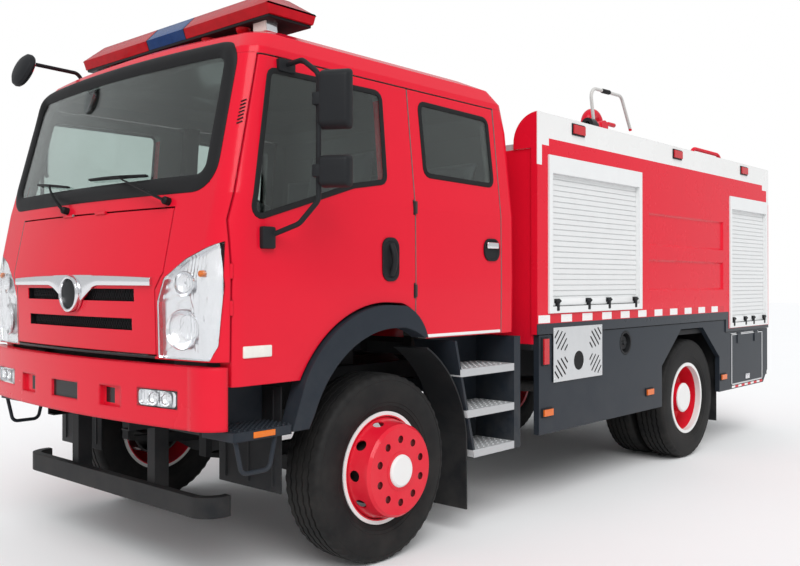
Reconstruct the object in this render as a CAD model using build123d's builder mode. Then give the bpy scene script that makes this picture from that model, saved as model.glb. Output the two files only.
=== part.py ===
"""Water and foam fire truck with a crew cab, as an assembly of separate named pieces.

Frame: +Z up from the ground, the truck faces -Y and its left side is +X.
The origin is on the ground, in the middle of the overall length. Millimetres.
"""

import os
from collections import namedtuple
from math import cos, radians, sin, sqrt

from build123d import *

os.makedirs("parts", exist_ok=True)


def write(part, name):
    """Labels a finished piece and writes it as one STEP file."""
    part.label = name
    export_step(part, f"parts/{name}.step")


# Driving dimensions
WHEELBASE = 3850
FRONT_OVERHANG = 1215  # front axle to the bumper's nose
REAR_OVERHANG = 1975  # rear axle to the back of the rear step
LENGTH = FRONT_OVERHANG + WHEELBASE + REAR_OVERHANG
BODY_HALF = 1230  # outer face of the equipment body
CAB_HALF = 1170  # widest part of the cab
FIT = 0.5  # clearance of a piece set into its seat
RUN = 0.5  # radial clearance of a shaft in its hub
GAP = 8  # gap round a door or a lid

FRONT_AXLE = -LENGTH / 2 + FRONT_OVERHANG
REAR_AXLE = FRONT_AXLE + WHEELBASE
REAR_END = LENGTH / 2


def fa(y):
    """A place along the truck, given from the front axle."""
    return FRONT_AXLE + y


# Wheels: tyre 10R22.5 on ten-stud discs
TYRE_R = 510
TYRE_W = 260
BEAD_R = 290
RIM_LIP = 303
RIM_BORE = 276
RIM_HALF = 112
TYRE_X = 1060  # middle plane of the front and the outer rear tyres
TWIN_STEP = 300  # outer to inner tyre of a twin
STUD_CIRCLE = 335
STUDS = 10
STUD_HOLE_R = 20
VENT_R = 30
DISC_T = 12
FRONT_FACE_X = 1298  # outset face of the front discs
REAR_FACE_X = 922  # inset face of the outer rear discs
FACE_R = 246
HUB_R = 104
CAP_R = 85
CAP_T = 16
SPINDLE_R = 40
SPINDLE_END = 1210
DRUM_R = 206
DRUM_X = (1002, 1190)
HUB_START = 1040
REAR_HUB_R = 125
REAR_HUB_END = 1150
REAR_SPINDLE_R = 55
KINGPIN_X = 950
KINGPIN_R = 24


def wheel_plane(y):
    """Plane of a wheel's half section: local x is X, local y is the height over the axle."""
    return Plane(origin=(0, y, TYRE_R), x_dir=(1, 0, 0), z_dir=(0, -1, 0))


def axle_line(y):
    return Axis((0, y, TYRE_R), (1, 0, 0))


def turned(y, outline):
    """Solid of revolution round a wheel's axle from an outline of (x, radius) points."""
    with BuildPart() as body:
        with BuildSketch(wheel_plane(y)):
            with BuildLine():
                Polyline(*outline, close=True)
            make_face()
        revolve(axis=axle_line(y))
    return body.part


def tyre(y, x):
    """Tyre as a ring with straight sidewall, shoulder and tread bands."""
    half = TYRE_W / 2
    right = [
        (half - 38, BEAD_R + FIT),
        (half - 4, BEAD_R + 70),
        (half, BEAD_R + 125),
        (half - 10, TYRE_R - 36),
        (half - 30, TYRE_R - 6),
        (half - 62, TYRE_R),
    ]
    left = [(-a, r) for a, r in reversed(right)]
    return turned(y, [(x + a, r) for a, r in right + left])


def rim_outline(x):
    """Barrel of a drop-centre rim between its two lips."""
    h = RIM_HALF
    outside = [(h, RIM_LIP), (h - 8, RIM_LIP), (h - 16, BEAD_R), (-h + 16, BEAD_R), (-h + 8, RIM_LIP), (-h, RIM_LIP)]
    inside = [(-h, RIM_BORE), (h, RIM_BORE)]
    return [(x + a, r) for a, r in outside + inside]


def front_wheel():
    """Left front rim with its outset disc, hub, brake drum and cap."""
    y = FRONT_AXLE
    face = FRONT_FACE_X
    dish_back = TYRE_X + 60
    disc = [
        (face, HUB_R - 10),
        (face, FACE_R - 14),
        (face - 14, FACE_R),
        (dish_back, RIM_BORE + 4),
        (dish_back - DISC_T, RIM_BORE + 4),
        (face - 14 - DISC_T, FACE_R - DISC_T),
        (face - DISC_T, FACE_R - 20),
        (face - DISC_T, HUB_R - 10),
    ]
    hub = [
        (HUB_START, SPINDLE_R + RUN),
        (SPINDLE_END + 3, SPINDLE_R + RUN),
        (SPINDLE_END + 3, 0),
        (face + CAP_T, 0),
        (face + CAP_T, CAP_R - 10),
        (face + CAP_T - 8, CAP_R),
        (face + 2, CAP_R),
        (face + 2, HUB_R),
        (face - DISC_T, HUB_R),
        (face - DISC_T, STUD_CIRCLE / 2 + 34),
        (face - 2 * DISC_T, STUD_CIRCLE / 2 + 34),
        (face - 2 * DISC_T, HUB_R),
        (DRUM_X[1], HUB_R),
        (DRUM_X[1], DRUM_R),
        (DRUM_X[0], DRUM_R),
        (DRUM_X[0], DRUM_R - 14),
        (DRUM_X[1] - 16, DRUM_R - 14),
        (DRUM_X[1] - 16, HUB_R - 24),
        (HUB_START, HUB_R - 24),
    ]
    with BuildPart() as wheel:
        add(turned(y, rim_outline(TYRE_X)))
        add(turned(y, disc))
        vents = Plane(origin=((face + dish_back) / 2, y, TYRE_R), z_dir=(1, 0, 0))
        with BuildSketch(Plane(origin=(face - DISC_T, y, TYRE_R), z_dir=(1, 0, 0))):
            with PolarLocations(STUD_CIRCLE / 2, STUDS):
                Circle(STUD_HOLE_R)
        extrude(amount=DISC_T, mode=Mode.SUBTRACT)
        with Locations(vents):
            with PolarLocations(FACE_R, STUDS, start_angle=18):
                with Locations(Location((0, 0, 0), (0, 90, 0))):
                    Cylinder(VENT_R, 80, mode=Mode.SUBTRACT)
        add(turned(y, hub))
    return wheel.part


def rear_wheels():
    """Left rear twin: two rims whose discs meet back to back on one hub."""
    y = REAR_AXLE
    inner_x = TYRE_X - TWIN_STEP
    face = REAR_FACE_X
    back = 2 * (TYRE_X - TWIN_STEP / 2) - face
    outer_disc = [
        (face, REAR_HUB_R),
        (face, FACE_R - 30),
        (face + 60, RIM_BORE + 4),
        (face + 60 + DISC_T, RIM_BORE + 4),
        (face + DISC_T, FACE_R - 36),
        (face + DISC_T, REAR_HUB_R),
    ]
    inner_disc = [(face + back - x, r) for x, r in outer_disc]
    hub = [
        (back - 40, REAR_SPINDLE_R + RUN),
        (REAR_HUB_END - 20, REAR_SPINDLE_R + RUN),
        (REAR_HUB_END - 20, 0),
        (REAR_HUB_END, 0),
        (REAR_HUB_END, REAR_HUB_R - 12),
        (REAR_HUB_END - 10, REAR_HUB_R),
        (face, REAR_HUB_R),
        (face, STUD_CIRCLE / 2 + 30),
        (back, STUD_CIRCLE / 2 + 30),
        (back, DRUM_R),
        (inner_x - 60, DRUM_R),
        (inner_x - 60, DRUM_R - 14),
        (back - 16, DRUM_R - 14),
        (back - 16, REAR_HUB_R),
        (back - 40, REAR_HUB_R),
    ]
    with BuildPart() as wheel:
        for x in (TYRE_X, inner_x):
            add(turned(y, rim_outline(x)))
        add(turned(y, outer_disc))
        add(turned(y, inner_disc))
        with Locations(Plane(origin=(face + 36, y, TYRE_R), z_dir=(1, 0, 0))):
            with PolarLocations(FACE_R - 2, STUDS):
                Cylinder(VENT_R - 4, 90, mode=Mode.SUBTRACT)
        add(turned(y, hub))
    return wheel.part


def pair(part):
    """The left piece and its mirror image, as one node of two solids."""
    return Compound([part, mirror(part, about=Plane.YZ)])


left_front_tyre = tyre(FRONT_AXLE, TYRE_X)
left_rear_tyres = Compound([tyre(REAR_AXLE, TYRE_X), tyre(REAR_AXLE, TYRE_X - TWIN_STEP)])
left_front_wheel = front_wheel()
left_rear_wheels = rear_wheels()
for piece, name in (
    (left_front_tyre, "front_tyre"),
    (left_rear_tyres, "rear_tyres"),
    (left_front_wheel, "front_wheel"),
    (left_rear_wheels, "rear_wheels"),
):
    write(piece, name + "_left")
    write(mirror(piece, about=Plane.YZ), name + "_right")


# Steering knuckles and the front beam
EYE_HALF = 46  # half height of the beam's eye
YOKE_T = 40
EYE_R = 46
BEAM_T = 90
BEAM_DROP = 90
PAD_X = 430  # leaf springs stand under the frame rails
PAD_TOP = TYRE_R - 20

with BuildPart() as knuckle:
    with BuildSketch(Plane.XY.offset(TYRE_R - EYE_HALF - RUN - YOKE_T)):
        with Locations((KINGPIN_X, FRONT_AXLE)):
            Circle(EYE_R)
    extrude(amount=YOKE_T)
    with BuildSketch(Plane.XY.offset(TYRE_R + EYE_HALF + RUN)):
        with Locations((KINGPIN_X, FRONT_AXLE)):
            Circle(EYE_R)
    extrude(amount=YOKE_T)
    with BuildSketch(Plane.XY.offset(TYRE_R - EYE_HALF - 2 * YOKE_T)):
        with Locations((KINGPIN_X, FRONT_AXLE)):
            Circle(KINGPIN_R)
    extrude(amount=2 * EYE_HALF + 4 * YOKE_T)
    yoke_height = 2 * (EYE_HALF + RUN + YOKE_T)
    web_start = KINGPIN_X + EYE_R + 2
    with Locations((web_start + 16, FRONT_AXLE, TYRE_R)):
        Box(32, 2 * EYE_R, yoke_height)
    for z in (TYRE_R - yoke_height / 2 + YOKE_T / 2, TYRE_R + yoke_height / 2 - YOKE_T / 2):
        with Locations((KINGPIN_X + EYE_R / 2 + 8, FRONT_AXLE, z)):
            Box(EYE_R + 20, 2 * EYE_R - 12, YOKE_T)
    with BuildSketch(Plane(origin=(web_start, FRONT_AXLE, TYRE_R), z_dir=(1, 0, 0))):
        Circle(SPINDLE_R)
    extrude(amount=SPINDLE_END - web_start)
write(knuckle.part, "knuckle_left")
write(mirror(knuckle.part, about=Plane.YZ), "knuckle_right")

with BuildPart() as front_axle_beam:
    with BuildSketch(Plane.XZ.offset(-FRONT_AXLE - BEAM_T / 2)):
        with BuildLine():
            Polyline(
                (0, PAD_TOP - BEAM_DROP),
                (PAD_X + 90, PAD_TOP - BEAM_DROP),
                (KINGPIN_X - 60, TYRE_R - EYE_HALF + 6),
                (KINGPIN_X - 30, TYRE_R - EYE_HALF + 6),
                (KINGPIN_X - 30, TYRE_R + EYE_HALF - 6),
                (KINGPIN_X - 60, TYRE_R + EYE_HALF - 6),
                (PAD_X + 90, PAD_TOP),
                (0, PAD_TOP),
                close=True,
            )
        make_face()
    extrude(amount=BEAM_T)
    with BuildSketch(Plane.XY.offset(TYRE_R - EYE_HALF)):
        with Locations((KINGPIN_X, FRONT_AXLE)):
            Circle(EYE_R)
    extrude(amount=2 * EYE_HALF)
    with BuildSketch(Plane.XY.offset(TYRE_R - EYE_HALF)):
        with Locations((KINGPIN_X, FRONT_AXLE)):
            Circle(KINGPIN_R + RUN)
    extrude(amount=2 * EYE_HALF, mode=Mode.SUBTRACT)
    mirror(about=Plane.YZ)
write(front_axle_beam.part, "front_axle_beam")

# Rear axle: banjo housing with a spindle on each side
TUBE_R = 78
BANJO_R = 185
INNER_HUB_FACE = 2 * (TYRE_X - TWIN_STEP / 2) - REAR_FACE_X - 40
with BuildPart() as rear_axle_housing:
    with BuildSketch(wheel_plane(REAR_AXLE)):
        with BuildLine():
            Polyline(
                (0, 0),
                (REAR_HUB_END - 22, 0),
                (REAR_HUB_END - 22, REAR_SPINDLE_R),
                (INNER_HUB_FACE - 6, REAR_SPINDLE_R),
                (INNER_HUB_FACE - 6, TUBE_R),
                (BANJO_R + 90, TUBE_R),
                (BANJO_R - 40, BANJO_R - 40),
                (BANJO_R - 90, BANJO_R),
                (0, BANJO_R),
                close=True,
            )
        make_face()
    revolve(axis=axle_line(REAR_AXLE))
    mirror(about=Plane.YZ)
write(rear_axle_housing.part, "rear_axle_housing")

# Ladder frame
RAIL_X = 430
RAIL_TOP = 980
RAIL_H = 220
RAIL_FLANGE = 70
RAIL_T = 8
RAIL_FRONT = fa(-1090)
RAIL_REAR = fa(5560)
CROSS_H = 110
CROSS_T = 70
CROSS_PLACES = [fa(-1020), fa(1420), fa(2150), fa(3000), fa(4750), fa(5480)]

with BuildPart() as rail:
    with BuildSketch(Plane.XZ.offset(-RAIL_FRONT)):
        with Locations((RAIL_X - RAIL_FLANGE / 2, RAIL_TOP - RAIL_H / 2)):
            Rectangle(RAIL_FLANGE, RAIL_H)
        with Locations((RAIL_X - RAIL_FLANGE / 2 - RAIL_T, RAIL_TOP - RAIL_H / 2)):
            Rectangle(RAIL_FLANGE, RAIL_H - 2 * RAIL_T, mode=Mode.SUBTRACT)
    extrude(amount=RAIL_FRONT - RAIL_REAR)
write(pair(rail.part), "frame_rails")

with BuildPart() as crossmembers:
    for y in CROSS_PLACES:
        with Locations((0, y, RAIL_TOP - RAIL_T - CROSS_H / 2)):
            Box(2 * (RAIL_X - RAIL_T), CROSS_T, CROSS_H)
        with Locations((0, y, RAIL_TOP - RAIL_T - CROSS_H / 2)):
            Box(2 * (RAIL_X - RAIL_FLANGE - 40), CROSS_T, CROSS_H - 2 * RAIL_T, mode=Mode.SUBTRACT)
        with Locations((0, y - RAIL_T / 2, RAIL_TOP - RAIL_T - CROSS_H / 2)):
            Box(2 * (RAIL_X - RAIL_FLANGE), CROSS_T - RAIL_T, CROSS_H)
write(crossmembers.part, "frame_crossmembers")

# Leaf springs: an arched pack with a hanger under the rail at each end
SPRING_W = 64
SPRING_T = 74
SPRING_RISE = 70
HANGER_W = 40


def leaf_spring(y, seat, half):
    """Spring pack over an axle at y whose bottom rests at seat, with half its length."""
    tip = seat + SPRING_RISE
    with BuildPart() as spring:
        with BuildSketch(Plane.YZ.offset(RAIL_X - RAIL_FLANGE / 2 - SPRING_W / 2)):
            with BuildLine():
                ThreePointArc((y - half, tip), (y, seat), (y + half, tip))
                Line((y + half, tip), (y + half, tip + 16))
                ThreePointArc((y + half, tip + 16), (y, seat + SPRING_T), (y - half, tip + 16))
                Line((y - half, tip + 16), (y - half, tip))
            make_face()
        extrude(amount=SPRING_W)
        for end in (y - half + HANGER_W / 2, y + half - HANGER_W / 2):
            low = seat + SPRING_RISE + 6
            with Locations((RAIL_X - RAIL_FLANGE / 2, end, (low + RAIL_TOP - RAIL_H) / 2)):
                Box(SPRING_W, HANGER_W, RAIL_TOP - RAIL_H - low)
    return spring.part


front_spring = leaf_spring(FRONT_AXLE, PAD_TOP, 620)
REAR_SEAT = TYRE_R + TUBE_R
rear_spring = leaf_spring(REAR_AXLE, REAR_SEAT, 700)
springs = [front_spring, rear_spring]
write(Compound(springs + [mirror(s, about=Plane.YZ) for s in springs]), "leaf_springs")

# Engine, gearbox and propeller shaft in line
ENGINE = {"width": 600, "front": fa(-520), "rear": fa(640), "bottom": 640, "top": 1200}
GEARBOX_R = 190
MOUNT_PLACES = (fa(-340), fa(420))
GEARBOX_END = fa(1300)
SHAFT_R = 48
SHAFT_START = (GEARBOX_END, 800)
SHAFT_END = (REAR_AXLE - BANJO_R - 30, TYRE_R + 20)
with BuildPart() as driveline:
    with Locations((0, (ENGINE["front"] + ENGINE["rear"]) / 2, (ENGINE["bottom"] + ENGINE["top"]) / 2)):
        Box(ENGINE["width"], ENGINE["rear"] - ENGINE["front"], ENGINE["top"] - ENGINE["bottom"])
    with BuildSketch(Plane.XZ.offset(-ENGINE["rear"])):
        with Locations((0, SHAFT_START[1])):
            Circle(GEARBOX_R)
    extrude(amount=ENGINE["rear"] - GEARBOX_END)
    run = Vector(0, SHAFT_END[0] - SHAFT_START[0], SHAFT_END[1] - SHAFT_START[1])
    with BuildSketch(Plane(origin=(0, SHAFT_START[0] - 40, SHAFT_START[1]), z_dir=run)):
        Circle(SHAFT_R)
    extrude(amount=run.length + 20)
    for y in MOUNT_PLACES:
        for side in (1, -1):
            reach = RAIL_X - RAIL_T - ENGINE["width"] / 2
            with Locations((side * (ENGINE["width"] / 2 + reach / 2), y, 870)):
                Box(reach, 80, 60)
write(driveline.part, "driveline")

# Cab: horizontal sections of the outer skin, ruled from one to the next
WALL = 60
DOOR_TOP = 2615
ROOF_SPLIT = DOOR_TOP + GAP
Section = namedtuple("Section", "z half front bow corner rear rear_corner")
CAB_SECTIONS = [
    Section(1030, CAB_HALF - 6, fa(-1150), 62, 150, fa(1270), 70),
    Section(1540, CAB_HALF, fa(-1165), 62, 160, fa(1270), 70),
    Section(1930, CAB_HALF - 4, fa(-1088), 66, 140, fa(1270), 70),
    Section(2480, CAB_HALF - 60, fa(-957), 70, 118, fa(1270), 75),
    Section(2660, CAB_HALF - 78, fa(-914), 72, 112, fa(1244), 90),
    Section(2745, CAB_HALF - 125, fa(-850), 76, 130, fa(1190), 110),
    Section(2800, CAB_HALF - 240, fa(-740), 80, 160, fa(1090), 150),
    Section(2835, CAB_HALF - 480, fa(-520), 70, 180, fa(900), 160),
]


def cab_outline(row, inset):
    """Plan outline at one height: bowed front, round corners, straight sides."""
    half = row.half - inset
    corner = row.corner - inset / 2
    rear_corner = max(row.rear_corner - inset, 15)
    front = row.front + inset
    bow_y = front + row.bow
    rear = row.rear - inset
    k = sqrt(0.5)
    right = [
        ((half - corner, bow_y), (half - corner * (1 - k), bow_y + corner * (1 - k)), (half, bow_y + corner)),
        (
            (half, rear - rear_corner),
            (half - rear_corner * (1 - k), rear - rear_corner * (1 - k)),
            (half - rear_corner, rear),
        ),
    ]
    with BuildLine() as outline:
        ThreePointArc((-half + corner, bow_y), (0, front), (half - corner, bow_y))
        for side in (1, -1):
            for start, middle, end in right:
                ThreePointArc(*((side * x, y) for x, y in (start, middle, end)))
            Line((side * half, bow_y + corner), (side * half, rear - rear_corner))
        Line((half - rear_corner, rear), (-half + rear_corner, rear))
    return outline


def cab_volume(inset, drop=0):
    """The cab's solid shape, taken in on all sides by inset, its bottom lowered by drop."""
    with BuildPart() as volume:
        for row in CAB_SECTIONS:
            z = row.z - drop if row is CAB_SECTIONS[0] else row.z - inset * (row.z > ROOF_SPLIT)
            with BuildSketch(Plane.XY.offset(z)):
                add(cab_outline(row, inset).line)
                make_face()
        loft(ruled=True)
    return volume.part


cab_outer = cab_volume(0)
cab_inner = cab_volume(WALL, drop=40)
GLASS_T = 8
with BuildPart() as cab_skin:
    add(cab_outer)
    add(cab_inner, mode=Mode.SUBTRACT)
with BuildPart() as glass_skin:
    add(cab_outer)
    add(cab_volume(GLASS_T, drop=40), mode=Mode.SUBTRACT)


def side_prism(outline, grow=0.0, x0=1000, x1=1400):
    """Prism across the left side from a side-view outline of (y, z) points."""
    with BuildPart() as prism:
        with BuildSketch(Plane.YZ.offset(x0)):
            with BuildLine():
                Polyline(*outline, close=True)
            make_face()
            if grow:
                offset(amount=grow, kind=Kind.INTERSECTION)
        extrude(amount=x1 - x0)
    return prism.part


def front_prism(outline, y0, y1, grow=0.0):
    """Prism along the truck from a front-view outline of (x, z) points."""
    with BuildPart() as prism:
        with BuildSketch(Plane.XZ.offset(-y0)):
            with BuildLine():
                Polyline(*outline, close=True)
            make_face()
            if grow:
                offset(amount=grow, kind=Kind.INTERSECTION)
        extrude(amount=y0 - y1)
    return prism.part


# Wheel arch of the cab, seen from the side: the moulding's outer and inner edges
ARCH_TOP = 1390
ARCH_INNER_TOP = 1262
ARCH_X = (1096, 1196)
DOOR_BOTTOM = 1030
DOOR_SPLIT = fa(268)  # the seam between the two doors
DOOR_REAR = fa(1096)
A_FOOT = (fa(-985), 1800)
A_HEAD = (fa(-789), DOOR_TOP)
DOOR_FRONT = fa(-1000)
HINGE_X = {"front": 1156, "rear": 1172}  # door hinge axes, at the outer skin
HINGE_Y = {"front": DOOR_FRONT - GAP / 2, "rear": DOOR_SPLIT + GAP / 2}
HINGE_Z = {"front": ((1360, 1430), (1530, 1600)), "rear": ((1430, 1500), (1900, 1970))}
PIN_R = 8
PIN_RUN = 0.08
NOTCH = 14  # room in the front door's edge for the rear door's hinges
ARCH_GAP = 14  # doors to the arch mouldings
BACK_SILL = 1190
FRONT_SILL = 1145


def arch_edges():
    """Side-view edges of the arch opening: (outer, inner), each a list of curve calls."""
    outer = [
        ("line", (fa(-668), 790), (fa(-585), 1015)),
        ("arc", (fa(-585), 1015), (fa(-345), 1282), (fa(20), ARCH_TOP)),
        ("line", (fa(20), ARCH_TOP), (fa(150), ARCH_TOP - 6)),
        ("arc", (fa(150), ARCH_TOP - 6), (fa(262), ARCH_TOP - 62), (fa(350), BACK_SILL + 8)),
    ]
    inner = [
        ("line", (fa(350), BACK_SILL + 8), (fa(318), BACK_SILL + 8)),
        ("arc", (fa(318), BACK_SILL + 8), (fa(240), ARCH_INNER_TOP - 24), (fa(150), ARCH_INNER_TOP)),
        ("line", (fa(150), ARCH_INNER_TOP), (fa(40), ARCH_INNER_TOP)),
        ("arc", (fa(40), ARCH_INNER_TOP), (fa(-290), 1150), (fa(-520), 862)),
        ("line", (fa(-520), 862), (fa(-560), 790)),
        ("line", (fa(-560), 790), (fa(-668), 790)),
    ]
    return outer, inner


def draw(curves):
    for kind, *points in curves:
        if kind == "line":
            Line(*points)
        else:
            ThreePointArc(*points)


arch_outer, arch_inner = arch_edges()
with BuildPart() as arch_moulding:
    with BuildSketch(Plane.YZ.offset(ARCH_X[0])):
        with BuildLine():
            draw(arch_outer + arch_inner)
        make_face()
    extrude(amount=ARCH_X[1] - ARCH_X[0])
write(pair(arch_moulding.part), "arch_mouldings")

with BuildPart() as arch_void:
    with BuildSketch(Plane.YZ.offset(600)):
        with BuildLine():
            draw(arch_outer)
            Polyline((fa(350), BACK_SILL + 8), (fa(350), 700), (fa(-668), 700), (fa(-668), 790))
        make_face()
        offset(amount=ARCH_GAP, kind=Kind.INTERSECTION)
    extrude(amount=900)

# Doors, cut from the cab's own skin
front_door_outline = [
    (DOOR_FRONT, DOOR_BOTTOM),
    (DOOR_FRONT, A_FOOT[1]),
    A_HEAD,
    (DOOR_SPLIT, DOOR_TOP),
    (DOOR_SPLIT, DOOR_BOTTOM),
]
rear_door_outline = [
    (DOOR_SPLIT + GAP, BACK_SILL),
    (DOOR_SPLIT + GAP, DOOR_TOP),
    (DOOR_REAR, DOOR_TOP),
    (DOOR_REAR, BACK_SILL),
]
front_window_outline = [
    (fa(-897), 1807),
    (fa(-736), 2547),
    (fa(45), 2554),
    (fa(37), 2062),
    (fa(-215), 2020),
]
rear_window_outline = [(fa(380), 2130), (fa(372), 2550), (fa(1025), 2540), (fa(1035), 2120)]
WINDOW_CORNER = 40


def window_prism(outline, grow):
    """A window's prism with rounded corners."""
    with BuildPart() as prism:
        with BuildSketch(Plane.YZ.offset(600)):
            with BuildLine():
                Polyline(*outline, close=True)
            make_face()
            fillet(vertices(), WINDOW_CORNER)
            if grow:
                offset(amount=grow)
        extrude(amount=900)
    return prism.part


HANDLE_SIZE = (120, 26, 60)


def hinge_pins(place, grow=0.0):
    """Pins of a left door's hinges on their axis."""
    with BuildPart() as pins:
        for z0, z1 in HINGE_Z[place]:
            with Locations((HINGE_X[place], HINGE_Y[place], (z0 + z1) / 2)):
                Cylinder(PIN_R + grow, z1 - z0 + 20 * grow)
    return pins.part


def door(place, outline, window, handle, edge_y):
    """Left door with its window and handle recess cut, its free edge rounded about the hinge."""
    with BuildPart() as panel:
        add(cab_skin.part)
        add(side_prism(outline), mode=Mode.INTERSECT)
        with Locations((HINGE_X[place], HINGE_Y[place], 1800)):
            Cylinder(edge_y - HINGE_Y[place], 2000, mode=Mode.INTERSECT)
        add(hinge_pins(place, PIN_RUN), mode=Mode.SUBTRACT)
        if place == "front":
            for z0, z1 in HINGE_Z["rear"]:
                with Locations((CAB_HALF - 40, DOOR_SPLIT, (z0 + z1) / 2)):
                    Box(200, 2 * NOTCH, z1 - z0 + 16, mode=Mode.SUBTRACT)
        add(arch_void.part, mode=Mode.SUBTRACT)
        add(window_prism(window, 0), mode=Mode.SUBTRACT)
        with Locations((CAB_HALF, *handle)):
            Box(HANDLE_SIZE[1], HANDLE_SIZE[0], HANDLE_SIZE[2], mode=Mode.SUBTRACT)
    return panel.part


def door_glass(window):
    with BuildPart() as pane:
        add(glass_skin.part)
        add(window_prism(window, -FIT), mode=Mode.INTERSECT)
    return pane.part


FRONT_HANDLE = (fa(60), 1650)
REAR_HANDLE = (fa(1000), 1700)
doors = {
    "front": (front_door_outline, front_window_outline, FRONT_HANDLE, DOOR_SPLIT),
    "rear": (rear_door_outline, rear_window_outline, REAR_HANDLE, DOOR_REAR),
}
for place, (outline, window, handle, edge_y) in doors.items():
    panel = door(place, outline, window, handle, edge_y)
    pane = door_glass(window)
    write(panel, f"{place}_door_left")
    write(mirror(panel, about=Plane.YZ), f"{place}_door_right")
    write(pane, f"{place}_door_glass_left")
    write(mirror(pane, about=Plane.YZ), f"{place}_door_glass_right")

# Windscreen, front lid and headlamps, seen from the front
screen_outline = [(-998, 1985), (-964, 2662), (964, 2662), (998, 1985)]
LID_HALF = 720
LID_TOP = 1872
LID_BOTTOM = 1165
lid_outline = [
    (-LID_HALF, LID_BOTTOM),
    (-LID_HALF, 1480),
    (-LID_HALF - 60, 1560),
    (-LID_HALF - 60, LID_TOP),
    (LID_HALF + 60, LID_TOP),
    (LID_HALF + 60, 1560),
    (LID_HALF, 1480),
    (LID_HALF, LID_BOTTOM),
]
lamp_outline = [
    (738, 1150),
    (738, 1420),
    (790, 1530),
    (930, 1625),
    (1128, 1702),
    (1142, 1500),
    (1120, 1220),
    (1085, 1150),
]
lamp_right = [(-x, z) for x, z in lamp_outline]
FRONT_CUT = (fa(-1300), fa(-560))
LAMP_CUT = (fa(-1300), fa(-1014))

with BuildPart() as windscreen:
    add(glass_skin.part)
    add(front_prism(screen_outline, *FRONT_CUT, grow=-FIT), mode=Mode.INTERSECT)
write(windscreen.part, "windscreen")

LID_AXIS = (fa(-1101), LID_TOP + GAP / 2)
LID_PINS = (120, 220)


def lid_pins(grow=0.0):
    """Pins of the front lid's hinges along its top edge."""
    with BuildPart() as pins:
        for side in (1, -1):
            with Locations(Location((side * sum(LID_PINS) / 2, *LID_AXIS), (0, 90, 0))):
                Cylinder(PIN_R + grow, LID_PINS[1] - LID_PINS[0] + 20 * grow)
    return pins.part


SLOTS = [(560, 1450, 62), (538, 1305, 58)]  # half width, height of the middle, opening
with BuildPart() as front_panel:
    add(cab_skin.part)
    add(front_prism(lid_outline, fa(-1300), fa(-880)), mode=Mode.INTERSECT)
    for half, middle, opening in SLOTS:
        with BuildSketch(Plane.XZ.offset(-fa(-1300))):
            with Locations((0, middle)):
                Rectangle(2 * half, opening)
        extrude(amount=-500, mode=Mode.SUBTRACT)
    add(lid_pins(PIN_RUN), mode=Mode.SUBTRACT)
write(front_panel.part, "front_panel")

LOUVRE_STEP = 40
with BuildPart() as grille:
    add(cab_volume(WALL - 26))
    add(cab_volume(WALL - 6, drop=40), mode=Mode.SUBTRACT)
    slots = []
    for half, middle, opening in SLOTS:
        slots.append(front_prism(
            [(-half + FIT, middle - opening / 2 + FIT), (-half + FIT, middle + opening / 2 - FIT),
             (half - FIT, middle + opening / 2 - FIT), (half - FIT, middle - opening / 2 + FIT)],
            fa(-1300), fa(-880)))
    add(Compound(slots), mode=Mode.INTERSECT)
write(grille.part, "grille")

with BuildPart() as headlamp:
    add(cab_skin.part)
    add(front_prism(lamp_outline, *LAMP_CUT, grow=-FIT), mode=Mode.INTERSECT)

# What is left of the skin: roof, front and back of the cab
with BuildPart() as cab_rest:
    add(cab_skin.part)
    for outline in (front_door_outline, rear_door_outline):
        hole = side_prism(outline, grow=GAP, x0=1000 - GAP)
        add(hole, mode=Mode.SUBTRACT)
        add(mirror(hole, about=Plane.YZ), mode=Mode.SUBTRACT)
    add(arch_void.part, mode=Mode.SUBTRACT)
    add(mirror(arch_void.part, about=Plane.YZ), mode=Mode.SUBTRACT)
    add(front_prism(screen_outline, *FRONT_CUT), mode=Mode.SUBTRACT)
    add(front_prism(lid_outline, fa(-1300), fa(-880), grow=GAP), mode=Mode.SUBTRACT)
    add(front_prism(lamp_outline, *LAMP_CUT), mode=Mode.SUBTRACT)
    add(front_prism(lamp_right, *LAMP_CUT), mode=Mode.SUBTRACT)
    with Locations((0, fa(800), BACK_SILL - 150)):
        Box(2600, 1200, 300, mode=Mode.SUBTRACT)
    with Locations((0, fa(-1150), FRONT_SILL - 150)):
        Box(2600, 700, 300, mode=Mode.SUBTRACT)

with BuildPart() as cab_roof:
    add(cab_rest.part)
    split(bisect_by=Plane.XY.offset(ROOF_SPLIT), keep=Keep.TOP)
write(cab_roof.part, "cab_roof")

with BuildPart() as cab_lower:
    add(cab_rest.part)
    split(bisect_by=Plane.XY.offset(ROOF_SPLIT), keep=Keep.BOTTOM)
front_shell, cab_back = cab_lower.part.solids().sort_by(Axis.Y)
with BuildPart() as cab_front:
    add(front_shell)
    add(lid_pins())
    add(hinge_pins("front"))
    add(mirror(hinge_pins("front"), about=Plane.YZ))
write(cab_front.part, "cab_front")
write(Part(cab_back.wrapped), "cab_back")

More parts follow.
